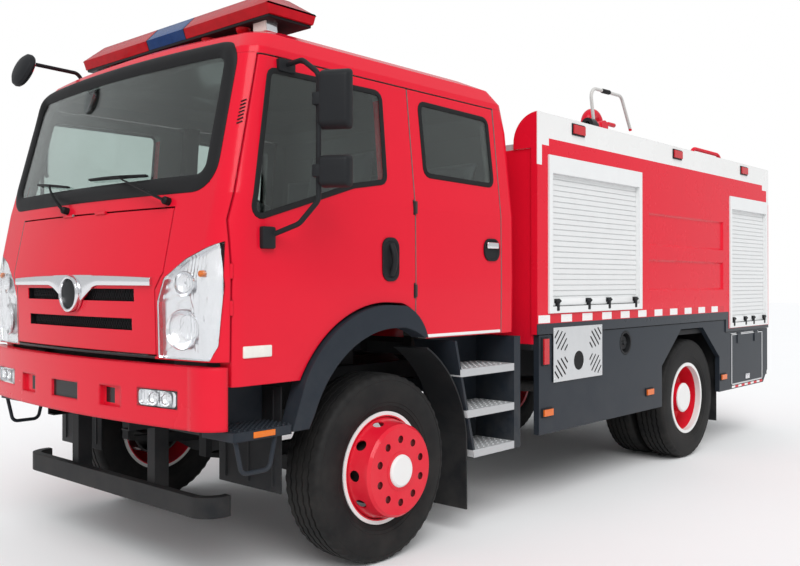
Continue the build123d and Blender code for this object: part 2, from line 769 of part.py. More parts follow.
# Cab floor with its bulkhead, sills and the posts between the doors
FLOOR_BOTTOM = 1270
FLOOR_T = 50
FLOOR_HALF = ARCH_X[0]
BULKHEAD = (fa(-985), fa(-940))
NOSE_HALF = 1040  # the floor is narrower ahead of the doors' hinges
BULKHEAD_HALF = 990  # clear of the doors' front edges as they swing
POST_W = 100
post_outline = [
    (1036, FLOOR_BOTTOM),
    (FLOOR_HALF, FLOOR_BOTTOM),
    (FLOOR_HALF, 1930),
    (1018, 2560),
    (1000, ROOF_SPLIT - 3),
    (1066, ROOF_SPLIT - 3),
    (1066, ROOF_SPLIT),
    (950, ROOF_SPLIT),
    (958, 2560),
    (1036, 1930),
]
with BuildPart() as cab_floor:
    back_wall = fa(1270 - WALL)
    plates = ((NOSE_HALF, BULKHEAD[0], back_wall), (FLOOR_HALF, fa(-870), fa(420)), (FLOOR_HALF - 12, fa(400), back_wall))
    for half, y0, y1 in plates:
        with Locations((0, (y0 + y1) / 2, FLOOR_BOTTOM + FLOOR_T / 2)):
            Box(2 * half, y1 - y0, FLOOR_T)
    with BuildPart(mode=Mode.PRIVATE) as bulkhead:
        add(cab_inner)
        with Locations((0, (BULKHEAD[0] + BULKHEAD[1]) / 2, (FLOOR_BOTTOM + 1960) / 2)):
            Box(2 * BULKHEAD_HALF, BULKHEAD[1] - BULKHEAD[0], 1960 - FLOOR_BOTTOM, mode=Mode.INTERSECT)
    add(bulkhead.part)
    for side in (1, -1):
        with BuildSketch(Plane.XZ.offset(-(DOOR_SPLIT - POST_W / 2))):
            with BuildLine():
                Polyline(*((side * x, z) for x, z in post_outline), close=True)
            make_face()
        extrude(amount=-POST_W)
        with Locations((side * (FLOOR_HALF - 57), (fa(360) + fa(1190)) / 2, (BACK_SILL + 12 + FLOOR_BOTTOM) / 2)):
            Box(90, 830, FLOOR_BOTTOM - BACK_SILL - 12)
        for y in (fa(-880), fa(1130)):
            with Locations((side * (RAIL_X - 35), y, (RAIL_TOP + FLOOR_BOTTOM) / 2)):
                Box(70, 110, FLOOR_BOTTOM - RAIL_TOP)
        for z0, z1 in HINGE_Z["rear"]:
            x0, x1 = FLOOR_HALF - 20, HINGE_X["rear"]
            with Locations((side * (x0 + x1) / 2, DOOR_SPLIT - 1, (z0 + z1) / 2)):
                Box(x1 - x0, 6, z1 - z0)
        pins = hinge_pins("rear")
        add(pins if side == 1 else mirror(pins, about=Plane.YZ))
write(cab_floor.part, "cab_floor")

# Dashboard with the steering column and wheel
FLOOR_TOP = FLOOR_BOTTOM + FLOOR_T
WHEEL_AT = (520, fa(-470), 1890)
COLUMN_FOOT = (520, fa(-700), 1640)
with BuildPart() as dashboard:
    with BuildSketch(Plane.YZ.offset(-1000)):
        with BuildLine():
            Polyline(
                (BULKHEAD[1], 1560),
                (BULKHEAD[1], 1880),
                (fa(-860), 1940),
                (fa(-650), 1890),
                (fa(-610), 1790),
                (fa(-720), 1560),
                close=True,
            )
        make_face()
    extrude(amount=2000)
    column = Vector(*WHEEL_AT) - Vector(*COLUMN_FOOT)
    with BuildSketch(Plane(origin=COLUMN_FOOT, z_dir=column)):
        Circle(34)
    extrude(amount=column.length)
    with Locations(Plane(origin=WHEEL_AT, z_dir=column)):
        Torus(225, 17)
        Box(430, 46, 24)
        Box(46, 430, 24)
write(dashboard.part, "dashboard")

# Seats: two in front and a bench behind
Seat = namedtuple("Seat", "x width y")
SEATS = [Seat(540, 560, fa(-200)), Seat(-540, 560, fa(-200)), Seat(0, 1960, fa(640))]
with BuildPart() as seats:
    for row in SEATS:
        with BuildSketch(Plane.YZ.offset(row.x - row.width / 2)):
            with BuildLine():
                Polyline(
                    (row.y + 40, FLOOR_TOP),
                    (row.y + 40, FLOOR_TOP + 230),
                    (row.y, FLOOR_TOP + 260),
                    (row.y, FLOOR_TOP + 390),
                    (row.y + 360, FLOOR_TOP + 370),
                    (row.y + 470, FLOOR_TOP + 1010),
                    (row.y + 560, FLOOR_TOP + 990),
                    (row.y + 490, FLOOR_TOP),
                    close=True,
                )
            make_face()
        extrude(amount=row.width)
write(seats.part, "seats")

# Bumper: a bowed band that wraps round the corners, with pockets for lamps and tow eyes
BUMPER = (832, 1124)
BUMPER_T = 60
NOSE = fa(-1215)
FOG = {"x": (650, 935), "z": (922, 1008)}
PLATE = {"half": 137, "z": (905, 995), "deep": 14}
TOW_POCKET = {"x": (345, 520), "z": (900, 1000), "deep": 40}


def bumper_outline(inset):
    with BuildLine() as outline:
        nose_end = (1000 - inset, fa(-1135) + inset)
        side = 1160 - inset
        ThreePointArc((-nose_end[0], nose_end[1]), (0, NOSE + inset), nose_end)
        for s in (1, -1):
            ThreePointArc(
                (s * nose_end[0], nose_end[1]), (s * (1118 - inset), fa(-1102) + inset), (s * side, fa(-1040)))
            Line((s * side, fa(-1040)), (s * side, fa(-1026)))
        Line((side, fa(-1026)), (-side, fa(-1026)))
    return outline


with BuildPart() as bumper_band:
    with BuildSketch(Plane.XY.offset(BUMPER[0])):
        add(bumper_outline(0).line)
        make_face()
    extrude(amount=BUMPER[1] - BUMPER[0])
    with BuildSketch(Plane.XY.offset(BUMPER[0])):
        add(bumper_outline(BUMPER_T).line)
        make_face()
    extrude(amount=BUMPER[1] - BUMPER[0], mode=Mode.SUBTRACT)
    with Locations((0, fa(-1026), (BUMPER[0] + BUMPER[1]) / 2)):
        Box(2 * (1160 - BUMPER_T), 60, 400, mode=Mode.SUBTRACT)


def block(x, y, z):
    """Box between pairs of limits."""
    with BuildPart() as box:
        with Locations(((x[0] + x[1]) / 2, (y[0] + y[1]) / 2, (z[0] + z[1]) / 2)):
            Box(x[1] - x[0], y[1] - y[0], z[1] - z[0])
    return box.part


def grown(limits, by):
    return (limits[0] - by, limits[1] + by)


FOG_Y = (fa(-1300), fa(-1040))
with BuildPart() as front_bumper:
    add(bumper_band.part)
    for side in (1, -1):
        fog = block(FOG["x"], FOG_Y, FOG["z"])
        pocket = block(TOW_POCKET["x"], (fa(-1300), NOSE + TOW_POCKET["deep"]), TOW_POCKET["z"])
        bracket = block((RAIL_X - 60, RAIL_X), (NOSE + BUMPER_T - 20, RAIL_FRONT), (850, 970))
        for piece, mode in ((fog, Mode.SUBTRACT), (pocket, Mode.SUBTRACT), (bracket, Mode.ADD)):
            add(piece if side == 1 else mirror(piece, about=Plane.YZ), mode=mode)
    plate = block((-PLATE["half"], PLATE["half"]), (fa(-1300), NOSE + PLATE["deep"]), PLATE["z"])
    add(plate, mode=Mode.SUBTRACT)
write(front_bumper.part, "front_bumper")

with BuildPart() as fog_lamp:
    add(bumper_band.part)
    add(block(grown(FOG["x"], -FIT), FOG_Y, grown(FOG["z"], -FIT)), mode=Mode.INTERSECT)
lamps = [Part(headlamp.part.wrapped), Part(fog_lamp.part.wrapped)]
write(Compound(lamps + [mirror(lamp, about=Plane.YZ) for lamp in lamps]), "front_lamps")

# Under-run bar below the bumper, its ends curled back
UNDERRUN = {"z": (370, 472), "y": fa(-985), "thick": 46, "half": 930}
with BuildPart() as underrun_bar:
    y, t, half = UNDERRUN["y"], UNDERRUN["thick"], UNDERRUN["half"]
    with BuildSketch(Plane.XY.offset(UNDERRUN["z"][0])):
        with BuildLine():
            Line((-800, y), (800, y))
            Line((800, y + t), (-800, y + t))
            for s in (1, -1):
                ThreePointArc((s * 800, y), (s * 897, y + 38), (s * half, y + 150))
                Line((s * half, y + 150), (s * (half - t), y + 150))
                ThreePointArc((s * (half - t), y + 150), (s * 862, y + 74), (s * 800, y + t))
        make_face()
    extrude(amount=UNDERRUN["z"][1] - UNDERRUN["z"][0])
    for side in (1, -1):
        with Locations((side * (RAIL_X - 35), y + t + 40, (UNDERRUN["z"][0] + RAIL_TOP - RAIL_H) / 2)):
            Box(70, 84, RAIL_TOP - RAIL_H - UNDERRUN["z"][0])
write(underrun_bar.part, "underrun_bar")


def bent_tube(points, radius, bend):
    """Round tube along a bent line."""
    with BuildPart() as tube:
        with BuildLine() as path:
            FilletPolyline(*points, radius=bend)
        with BuildSketch(path.line ^ 0):
            Circle(radius)
        sweep()
    return tube.part


# Front steps ahead of the wheels, with a wire stirrup under each
STEP = {"x": (950, 1192), "y": (fa(-1018), fa(-672)), "z": (780, 826)}
with BuildPart() as front_step:
    add(block(STEP["x"], STEP["y"], STEP["z"]))
    add(block((STEP["x"][0], STEP["x"][0] + 20), STEP["y"], (STEP["z"][0], 1010)))
    add(block(STEP["x"], (STEP["y"][0], STEP["y"][0] + 20), (STEP["z"][0], 815)))
    add(block((RAIL_X, STEP["x"][0] + 10), (fa(-890), fa(-810)), (STEP["z"][0], STEP["z"][1])))
    stirrup_x = STEP["x"][1] - 24
    add(bent_tube(
        [(stirrup_x, fa(-995), 800), (stirrup_x, fa(-955), 626), (stirrup_x, fa(-790), 626), (stirrup_x, fa(-750), 800)],
        11, 40))
write(pair(front_step.part), "front_steps")

# Crew steps: an open box with three treads below each rear door
CREW = {"x": (880, 1200), "z": (450, 1166), "post": (fa(1195), fa(1265)), "wall": 16}
TREADS = [(652, 992), (708, 742), (772, 496)]  # front edge from the axle, height of the top
TREAD_T = 42
with BuildPart() as crew_step:
    x0, x1 = CREW["x"]
    z0, z1 = CREW["z"]
    foot, head = fa(775), fa(585)
    with BuildSketch(Plane.YZ.offset(x0)):
        with BuildLine():
            Polyline((foot, z0), (head, z1), (CREW["post"][1], z1), (CREW["post"][1], z0), close=True)
        make_face()
    extrude(amount=CREW["wall"])
    with BuildSketch(Plane.YZ.offset(x0)):
        with BuildLine():
            Polyline((foot, z0), (head, z1), (head + 20, z1), (foot + 20, z0), close=True)
        make_face()
    extrude(amount=x1 - x0)
    add(block((x0, x1), CREW["post"], CREW["z"]))
    for front, top in TREADS:
        add(block((x0, x1), (fa(front), CREW["post"][0] + 5), (top - TREAD_T, top)))
    for y in (fa(880), fa(1140)):
        add(block((RAIL_X, x0 + 5), (y, y + 60), (800, 880)))
write(pair(crew_step.part), "crew_steps")

# Mudguards behind the front wheels and mud flaps behind the rear ones
GUARD_R = 712
GUARD_T = 10
GUARD_X = (930, 1190)
GUARD_ENDS = (7, 34, 61)  # degrees above the axle, rearward


def guard_point(radius, angle):
    return (FRONT_AXLE + radius * cos(radians(angle)), TYRE_R + radius * sin(radians(angle)))


with BuildPart() as mudguard:
    low, mid, top = GUARD_ENDS
    with BuildSketch(Plane.YZ.offset(GUARD_X[0])):
        with BuildLine():
            inner = [guard_point(GUARD_R, a) for a in (low, mid, top)]
            outer = [guard_point(GUARD_R + GUARD_T, a) for a in (top, mid, low)]
            ThreePointArc(*inner)
            Line(inner[2], outer[0])
            ThreePointArc(*outer)
            Line(outer[2], inner[0])
        make_face()
    extrude(amount=GUARD_X[1] - GUARD_X[0])
    add(block(GUARD_X, (inner[0][0], inner[0][0] + 12), (150, inner[0][1] + 20)))
    add(block((RAIL_X, GUARD_X[0] + 6), (fa(636), fa(668)), (775, 812)))
BODY_FLOOR = 1060
with BuildPart() as rear_flap:
    add(block((640, BODY_HALF - 58), (REAR_AXLE + 620, REAR_AXLE + 632), (240, BODY_FLOOR)))
guards = [Part(mudguard.part.wrapped), Part(rear_flap.part.wrapped)]
write(Compound(guards + [mirror(g, about=Plane.YZ) for g in guards]), "mudguards")

# Equipment body: floor and tank, side panels with a rounded parapet, end walls and deck
BODY = {"front": fa(1420), "rear": fa(5650), "sill": 1165, "top": 2640}
PANEL_T = 50
PANEL_X = BODY_HALF - PANEL_T  # inner face of the side panels
DECK = (2400, 2440)
PARAPET_R = 190
PARAPET_X = BODY_HALF - PARAPET_R
FLOOR_PLATE = (BODY_FLOOR, BODY_FLOOR + 40)
TANK_Y = (fa(2900), fa(4600))
with BuildPart() as water_tank:
    add(block((-PANEL_X, PANEL_X), (BODY["front"] + 10, BODY["rear"] - 10), FLOOR_PLATE))
    add(block((-PANEL_X + 40, PANEL_X - 40), TANK_Y, (BODY_FLOOR, DECK[0])))
    for side in (1, -1):
        x = sorted((side * (RAIL_X - 70), side * RAIL_X))
        add(block(x, (BODY["front"] + 30, fa(5540)), (RAIL_TOP, BODY_FLOOR)))
write(water_tank.part, "water_tank")

# Roller shutters: limits of each frame along the truck and in height
Shutter = namedtuple("Shutter", "y0 y1 z0 z1")
SIDE_SHUTTERS = [Shutter(fa(1548), fa(2884), 1302, 2366), Shutter(fa(4640), fa(5606), 1084, 2310)]
REAR_SHUTTER = {"half": 600, "z": (1180, 2250)}
FRAME_W = 46
FRAME_HEAD = 120
FRAME_PROUD = 12
FRAME_DEEP = 36
SLAT = 38
SLAT_T = 16
GROOVE = 5
BAR_H = 64

REAR_DROP = fa(4560)  # behind this the body side reaches lower
with BuildPart() as body_side:
    arc_r = BODY_HALF - PARAPET_X
    with BuildSketch(Plane.XZ.offset(-BODY["front"])):
        with BuildLine():
            Line((PANEL_X, BODY["sill"]), (BODY_HALF, BODY["sill"]))
            Line((BODY_HALF, BODY["sill"]), (BODY_HALF, BODY["top"]))
            ThreePointArc(
                (BODY_HALF, BODY["top"]),
                (PARAPET_X + arc_r * (1 - sqrt(0.5)), DECK[1] + (BODY["top"] - DECK[1]) * sqrt(0.5)),
                (PARAPET_X, DECK[1]),
            )
            Polyline((PARAPET_X, DECK[1]), (PARAPET_X, DECK[0]), (PANEL_X, DECK[0]), (PANEL_X, BODY["sill"]))
        make_face()
    extrude(amount=BODY["front"] - BODY["rear"])
    add(block((PANEL_X, BODY_HALF), (REAR_DROP, BODY["rear"]), (1050, BODY["sill"] + 1)))
    for row in SIDE_SHUTTERS:
        add(block((PANEL_X - 20, BODY_HALF + 20), (row.y0, row.y1), (row.z0, row.z1)), mode=Mode.SUBTRACT)
    PRESSINGS = [(1800, 2060), (1440, 1690)]  # heights of the two recessed fields
    for z0, z1 in PRESSINGS:
        with BuildSketch(Plane(origin=(BODY_HALF, fa(3760), (z0 + z1) / 2), x_dir=(0, 1, 0), z_dir=(1, 0, 0))):
            Rectangle(1480, z1 - z0)
        extrude(amount=-14, taper=45, mode=Mode.SUBTRACT)
write(pair(body_side.part), "body_sides")


def shutter_frame(plane, width, height):
    """Frame of a roller shutter with a deep head, standing proud of the panel."""
    with BuildPart() as frame:
        with BuildSketch(plane):
            Rectangle(width - 2 * FIT, height - 2 * FIT)
            with Locations((0, (FRAME_W - FRAME_HEAD) / 2)):
                Rectangle(width - 2 * FRAME_W, height - FRAME_W - FRAME_HEAD, mode=Mode.SUBTRACT)
        extrude(amount=FRAME_DEEP + FRAME_PROUD)
    return frame.part


def shutter_curtain(plane, width, height):
    """Curtain of slats with grooves between them and a handle bar along the bottom."""
    w = width - 2 * FRAME_W - 2 * FIT
    h = height - FRAME_W - FRAME_HEAD - 2 * FIT
    bottom = -height / 2 + FRAME_W + FIT
    count = round((h - BAR_H) / SLAT)
    pitch = (h - BAR_H) / count
    outline = [(0, bottom), (SLAT_T + 14, bottom), (SLAT_T + 14, bottom + BAR_H)]
    for i in range(count):
        z = bottom + BAR_H + i * pitch
        outline += [(SLAT_T - GROOVE, z), (SLAT_T - GROOVE, z + 6), (SLAT_T, z + 6), (SLAT_T, z + pitch)]
    outline.append((0, bottom + h))
    side = Plane(origin=plane.origin + plane.x_dir * (w / 2), x_dir=plane.z_dir, z_dir=-plane.x_dir)
    with BuildPart() as curtain:
        with BuildSketch(side):
            with BuildLine():
                Polyline(*outline, close=True)
            make_face()
        extrude(amount=w)
    return curtain.part


frames, curtains = [], []
for row in SIDE_SHUTTERS:
    place = Plane(
        origin=(BODY_HALF - FRAME_DEEP, (row.y0 + row.y1) / 2, (row.z0 + row.z1) / 2),
        x_dir=(0, 1, 0), z_dir=(1, 0, 0))
    size = (row.y1 - row.y0, row.z1 - row.z0)
    frame, curtain = shutter_frame(place, *size), shutter_curtain(place, *size)
    frames += [frame, mirror(frame, about=Plane.YZ)]
    curtains += [curtain, mirror(curtain, about=Plane.YZ)]
rear_z = REAR_SHUTTER["z"]
place = Plane(origin=(0, BODY["rear"] - FRAME_DEEP, sum(rear_z) / 2), x_dir=(-1, 0, 0), z_dir=(0, 1, 0))
size = (2 * REAR_SHUTTER["half"], rear_z[1] - rear_z[0])
frames.append(shutter_frame(place, *size))
curtains.append(shutter_curtain(place, *size))
write(Compound(frames), "shutter_frames")
write(Compound(curtains), "shutters")

with BuildPart() as body_end_walls:
    wall_z = (FLOOR_PLATE[1], DECK[0])
    add(block((-PANEL_X, PANEL_X), (BODY["front"] + 10, BODY["front"] + 40), wall_z))
    add(block((-PANEL_X, PANEL_X), (BODY["rear"] - 40, BODY["rear"]), wall_z))
    add(block((-REAR_SHUTTER["half"], REAR_SHUTTER["half"]), (BODY["rear"] - 60, BODY["rear"] + 20), rear_z),
        mode=Mode.SUBTRACT)
write(body_end_walls.part, "body_end_walls")

HATCHES = [fa(2350), fa(3300)]
HATCH_R = 260
RAIL_HOOP = {"x": PARAPET_X - 140, "y": (fa(4560), fa(5240)), "top": 2780, "r": 18}
with BuildPart() as body_deck:
    add(block((-PARAPET_X, PARAPET_X), (BODY["front"] + 10, BODY["rear"] - 2), DECK))
    for y in HATCHES:
        with Locations((0, y, DECK[1] + 30)):
            Cylinder(HATCH_R, 60)
    for side in (1, -1):
        x = side * RAIL_HOOP["x"]
        y0, y1 = RAIL_HOOP["y"]
        add(bent_tube(
            [(x, y0, DECK[1] - 10), (x, y0, RAIL_HOOP["top"]), (x, y1, RAIL_HOOP["top"]), (x, y1, DECK[1] - 10)],
            RAIL_HOOP["r"], 90))
write(body_deck.part, "body_deck")

# Side skirts below the body, open round the rear wheels
SKIRT_SET = 8  # the skirts stand back from the body's sides
SKIRT_X = (PANEL_X, BODY_HALF - SKIRT_SET)
SKIRT = {"front": fa(1450), "rear": fa(5640), "top": 1160, "bottom": 500, "rear_top": 1046}
FLAP = {"y": (fa(4705), fa(5495)), "z": (545, 1022), "thick": 25}
skirt_outline = [
    (SKIRT["front"], SKIRT["bottom"]),
    (SKIRT["front"], SKIRT["top"]),
    (REAR_DROP - 4, SKIRT["top"]),
    (REAR_DROP - 4, SKIRT["rear_top"]),
    (SKIRT["rear"], SKIRT["rear_top"]),
    (SKIRT["rear"], SKIRT["bottom"] + 130),
    (fa(5520), SKIRT["bottom"] + 10),
    (REAR_AXLE + 580, SKIRT["bottom"] + 10),
    (REAR_AXLE + 580, 830),
    (REAR_AXLE + 215, 1112),
    (REAR_AXLE - 230, 1112),
    (REAR_AXLE - 590, 830),
    (REAR_AXLE - 590, SKIRT["bottom"]),
]
VENT = {"y": (fa(1612), fa(2268)), "z": (836, 1152), "thick": 6}
OUTLET = {"y": fa(2645), "z": 1050, "r": 92}
SLITS = 7
FLAP_AXIS = (SKIRT_X[1], FLAP["z"][1] + GAP / 2)
FLAP_STRAPS = (FLAP["y"][0] + 180, FLAP["y"][1] - 180)
STRAP_HALF = 40


def flap_pins(grow=0.0):
    """Pins of the left locker flap's strap hinges."""
    with BuildPart() as pins:
        for y in FLAP_STRAPS:
            with Locations(Location((FLAP_AXIS[0], y, FLAP_AXIS[1]), (90, 0, 0))):
                Cylinder(PIN_R - 1 + grow, 2 * STRAP_HALF + 20 * grow)
    return pins.part


with BuildPart() as side_skirt:
    add(side_prism(skirt_outline, x0=SKIRT_X[0], x1=SKIRT_X[1]))
    add(block(grown(SKIRT_X, 20), grown(FLAP["y"], GAP), grown(FLAP["z"], GAP)), mode=Mode.SUBTRACT)
    with BuildSketch(Plane.YZ.offset(SKIRT_X[0])):
        with Locations((OUTLET["y"], OUTLET["z"])):
            Circle(OUTLET["r"])
    extrude(amount=SKIRT_X[1] - SKIRT_X[0], mode=Mode.SUBTRACT)
    add(flap_pins())
write(pair(side_skirt.part), "side_skirts")

with BuildPart() as vent_plate:
    y0, y1 = VENT["y"]
    z0, z1 = VENT["z"]
    add(block((SKIRT_X[1], SKIRT_X[1] + VENT["thick"]), VENT["y"], VENT["z"]))
    with BuildSketch(Plane.YZ.offset(SKIRT_X[1])):
        for i in range(SLITS):
            for lean in (1, -1):
                with Locations(Location(((y0 + y1) / 2 + lean * (60 + 38 * i), z1 - 130), (0, 0, lean * 38))):
                    SlotOverall(150, 14)
        with Locations(((y0 + y1) / 2, z0 + 86)):
            Circle(56)
    extrude(amount=VENT["thick"], mode=Mode.SUBTRACT)
write(pair(vent_plate.part), "vent_plates")

with BuildPart() as locker_flap:
    add(block((SKIRT_X[1] - FLAP["thick"], SKIRT_X[1]), FLAP["y"], FLAP["z"]))
    for y in FLAP_STRAPS:
        add(block((SKIRT_X[1], SKIRT_X[1] + 8), (y - STRAP_HALF, y + STRAP_HALF), (FLAP["z"][1] - 90, FLAP["z"][1])))
    add(flap_pins(PIN_RUN), mode=Mode.SUBTRACT)
write(locker_flap.part, "locker_flap_left")
write(mirror(locker_flap.part, about=Plane.YZ), "locker_flap_right")

# Marker lamps along the sides and lamps at the back
Marker = namedtuple("Marker", "x y z long high")
MARKERS = [Marker(BODY_HALF, fa(y), 2575, 150, 62) for y in (1936, 3529, 4993)]
MARKERS += [Marker(SKIRT_X[1], fa(y), 642, 110, 44) for y in (1547, 3032, 4510)]
MARKERS += [Marker(SKIRT_X[1], fa(1520), 1050, 60, 170)]
LAMP_T = 18
with BuildPart() as marker_lamps:
    for row in MARKERS:
        for side in (1, -1):
            with Locations((side * (row.x + LAMP_T / 2), row.y, row.z)):
                Box(LAMP_T, row.long, row.high)
    for inset, z, wide, high in ((300, 1240, 240, 90), (150, 2300, 110, 110), (300, 2300, 110, 110)):
        x = BODY_HALF - inset
        for side in (1, -1):
            with Locations((side * x, BODY["rear"] + LAMP_T / 2, z)):
                Box(wide, LAMP_T, high)
write(marker_lamps.part, "marker_lamps")

# Rear step on two brackets, with a towing eye under its middle
REAR_STEP = {"half": BODY_HALF - 80, "y": (fa(5668), REAR_END), "z": (560, 636)}
EYE = {"z": 488, "r": 26, "outer": 54, "half": 14, "y": REAR_END - 70}
with BuildPart() as rear_step:
    add(block((-REAR_STEP["half"], REAR_STEP["half"]), REAR_STEP["y"], REAR_STEP["z"]))
    for side in (1, -1):
        x = sorted((side * (RAIL_X - 60), side * RAIL_X))
        add(block(x, (RAIL_REAR, REAR_STEP["y"][0] + 60), (REAR_STEP["z"][0], 960)))
    with BuildSketch(Plane.YZ.offset(-EYE["half"])):
        with Locations((EYE["y"], EYE["z"])):
            Circle(EYE["outer"])
        with Locations((EYE["y"], (EYE["z"] + REAR_STEP["z"][0] + 10) / 2)):
            Rectangle(80, REAR_STEP["z"][0] + 10 - EYE["z"])
        with Locations((EYE["y"], EYE["z"])):
            Circle(EYE["r"], mode=Mode.SUBTRACT)
    extrude(amount=2 * EYE["half"])
write(rear_step.part, "rear_step")

# Water and foam monitor on the deck: riser, turning gooseneck, and the barrel with its hand loop
MONITOR_Y = fa(4400)
PIPE_R = 58
RISER_TOP = 2860
SPIGOT_R = 50
NECK_R = 110
NECK_TOP = 3060
PIVOT = (MONITOR_Y - 2 * NECK_R, 3010)
PIVOT_PIN_R = 26
STUB_END = 96
BARREL_X = 150
BARREL_R = 46
MUZZLE = MONITOR_Y - 470
with BuildPart() as monitor_riser:
    for radius, z0, z1 in ((120, DECK[1], DECK[1] + 30), (PIPE_R + 12, DECK[1], RISER_TOP), (95, 2834, RISER_TOP)):
        with Locations((0, MONITOR_Y, (z0 + z1) / 2)):
            Cylinder(radius, z1 - z0)
    with Locations((0, MONITOR_Y, RISER_TOP - 40)):
        Cylinder(SPIGOT_R + RUN, 80, mode=Mode.SUBTRACT)
write(monitor_riser.part, "monitor_riser")

with BuildPart() as monitor_turret:
    with Locations((0, MONITOR_Y, (RISER_TOP - 70 + RISER_TOP + 40) / 2)):
        Cylinder(SPIGOT_R, 110)
    with Locations((0, MONITOR_Y, RISER_TOP + 5 + 13)):
        Cylinder(95, 26)
    with BuildLine() as neck:
        Line((0, MONITOR_Y, RISER_TOP + 10), (0, MONITOR_Y, NECK_TOP))
        ThreePointArc(
            (0, MONITOR_Y, NECK_TOP), (0, MONITOR_Y - NECK_R, NECK_TOP + NECK_R), (0, PIVOT[0], NECK_TOP))
        Line((0, PIVOT[0], NECK_TOP), (0, PIVOT[0], PIVOT[1] - 30))
    with BuildSketch(neck.line ^ 0):
        Circle(PIPE_R)
    sweep()
    with BuildSketch(Plane(origin=(0, *PIVOT), z_dir=(1, 0, 0))):
        Circle(PIPE_R)
    extrude(amount=STUB_END)
    with BuildSketch(Plane(origin=(STUB_END - 60, *PIVOT), z_dir=(1, 0, 0))):
        Circle(PIVOT_PIN_R + RUN)
    extrude(amount=60, mode=Mode.SUBTRACT)
    add(bent_tube([(0, MONITOR_Y + 20, 3000), (0, MONITOR_Y + 200, 3120), (0, MONITOR_Y + 330, 3120)], 22, 60))
write(monitor_turret.part, "monitor_turret")

with BuildPart() as monitor_barrel:
    with BuildSketch(Plane(origin=(STUB_END - 52, *PIVOT), z_dir=(1, 0, 0))):
        Circle(PIVOT_PIN_R)
    extrude(amount=80)
    with BuildSketch(Plane(origin=(STUB_END + 6, *PIVOT), z_dir=(1, 0, 0))):
        Circle(64)
    extrude(amount=BARREL_X + BARREL_R - STUB_END)
    with BuildSketch(Plane(origin=(BARREL_X, *PIVOT), z_dir=(0, -1, 0))):
        Circle(BARREL_R)
    extrude(amount=PIVOT[0] - MUZZLE - 60)
    with BuildSketch(Plane(origin=(BARREL_X, MUZZLE + 90, PIVOT[1]), z_dir=(0, -1, 0))):
        Circle(64)
    extrude(amount=90)
    with BuildSketch(Plane(origin=(BARREL_X, MUZZLE, PIVOT[1]), z_dir=(0, 1, 0))):
        Circle(30)
    extrude(amount=200, mode=Mode.SUBTRACT)
    add(bent_tube(
        [
            (BARREL_X, MUZZLE + 130, PIVOT[1] + 20),
            (BARREL_X, MUZZLE + 60, 3372),
            (BARREL_X, MONITOR_Y + 200, 3382),
            (BARREL_X, MONITOR_Y + 400, 3060),
        ],
        16, 90))
write(monitor_barrel.part, "monitor_barrel")

# Light bar on the cab roof
BAR = {"half_low": 930, "half_top": 800, "z": (2880, 2945, 3034), "front": fa(-610), "rear": fa(-270), "lean": 85}
with BuildPart() as light_bar:
    low, waist, top = BAR["z"]
    with BuildSketch(Plane.YZ.offset(-BAR["half_low"])):
        with BuildLine():
            Polyline(
                (BAR["front"] + 20, low),
                (BAR["front"], waist),
                (BAR["front"] + BAR["lean"], top),
                (BAR["rear"] - BAR["lean"], top),
                (BAR["rear"], waist),
                (BAR["rear"] - 20, low),
                close=True,
            )
        make_face()
    extrude(amount=2 * BAR["half_low"])
    ends = [
        (-BAR["half_low"], low), (-BAR["half_low"], waist), (-BAR["half_top"], top),
        (BAR["half_top"], top), (BAR["half_low"], waist), (BAR["half_low"], low)]
    add(front_prism(ends, fa(-1000), fa(0)), mode=Mode.INTERSECT)
    for side in (1, -1):
        with Locations((side * 400, BAR["rear"] - 26, (CAB_SECTIONS[-1].z + low) / 2 + 2)):
            Box(110, 44, low - CAB_SECTIONS[-1].z + 4)
write(light_bar.part, "light_bar")

# Mirrors: two heads on a bent tube on each front door, and a round one over the right front corner
Head = namedtuple("Head", "z high")
MIRROR_TUBE = (1374, fa(-664))
MIRROR_HEADS = [Head(2377, 302), Head(2037, 165)]
HEAD_W, HEAD_T, HEAD_TURN = 168, 66, 30
with BuildPart() as door_mirror:
    x, y = MIRROR_TUBE
    add(bent_tube(
        [(1040, fa(-630), 2585), (1250, fa(-655), 2585), (x, y, 2500), (x, y, 1900), (1300, fa(-720), 1790),
         (1140, fa(-800), 1725)],
        13, 60))
    for row in MIRROR_HEADS:
        with Locations(Location((x + 72, y + 42, row.z), (0, 0, HEAD_TURN))):
            Box(HEAD_W, HEAD_T, row.high)
    add(cab_outer, mode=Mode.SUBTRACT)
write(door_mirror.part, "mirror_left")
write(mirror(door_mirror.part, about=Plane.YZ), "mirror_right")

with BuildPart() as front_mirror:
    add(bent_tube(
        [(-800, fa(-560), 2650), (-800, fa(-720), 2830), (-770, fa(-1040), 2830), (-740, fa(-1090), 2790)], 12, 50))
    with Locations(Location((-735, fa(-1100), 2775), (70, 0, 0))):
        Cylinder(105, 60)
    add(cab_outer, mode=Mode.SUBTRACT)
write(front_mirror.part, "front_mirror")
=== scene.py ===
import math

import bmesh
import bpy
from mathutils import Matrix, Vector
from mathutils.bvhtree import BVHTree


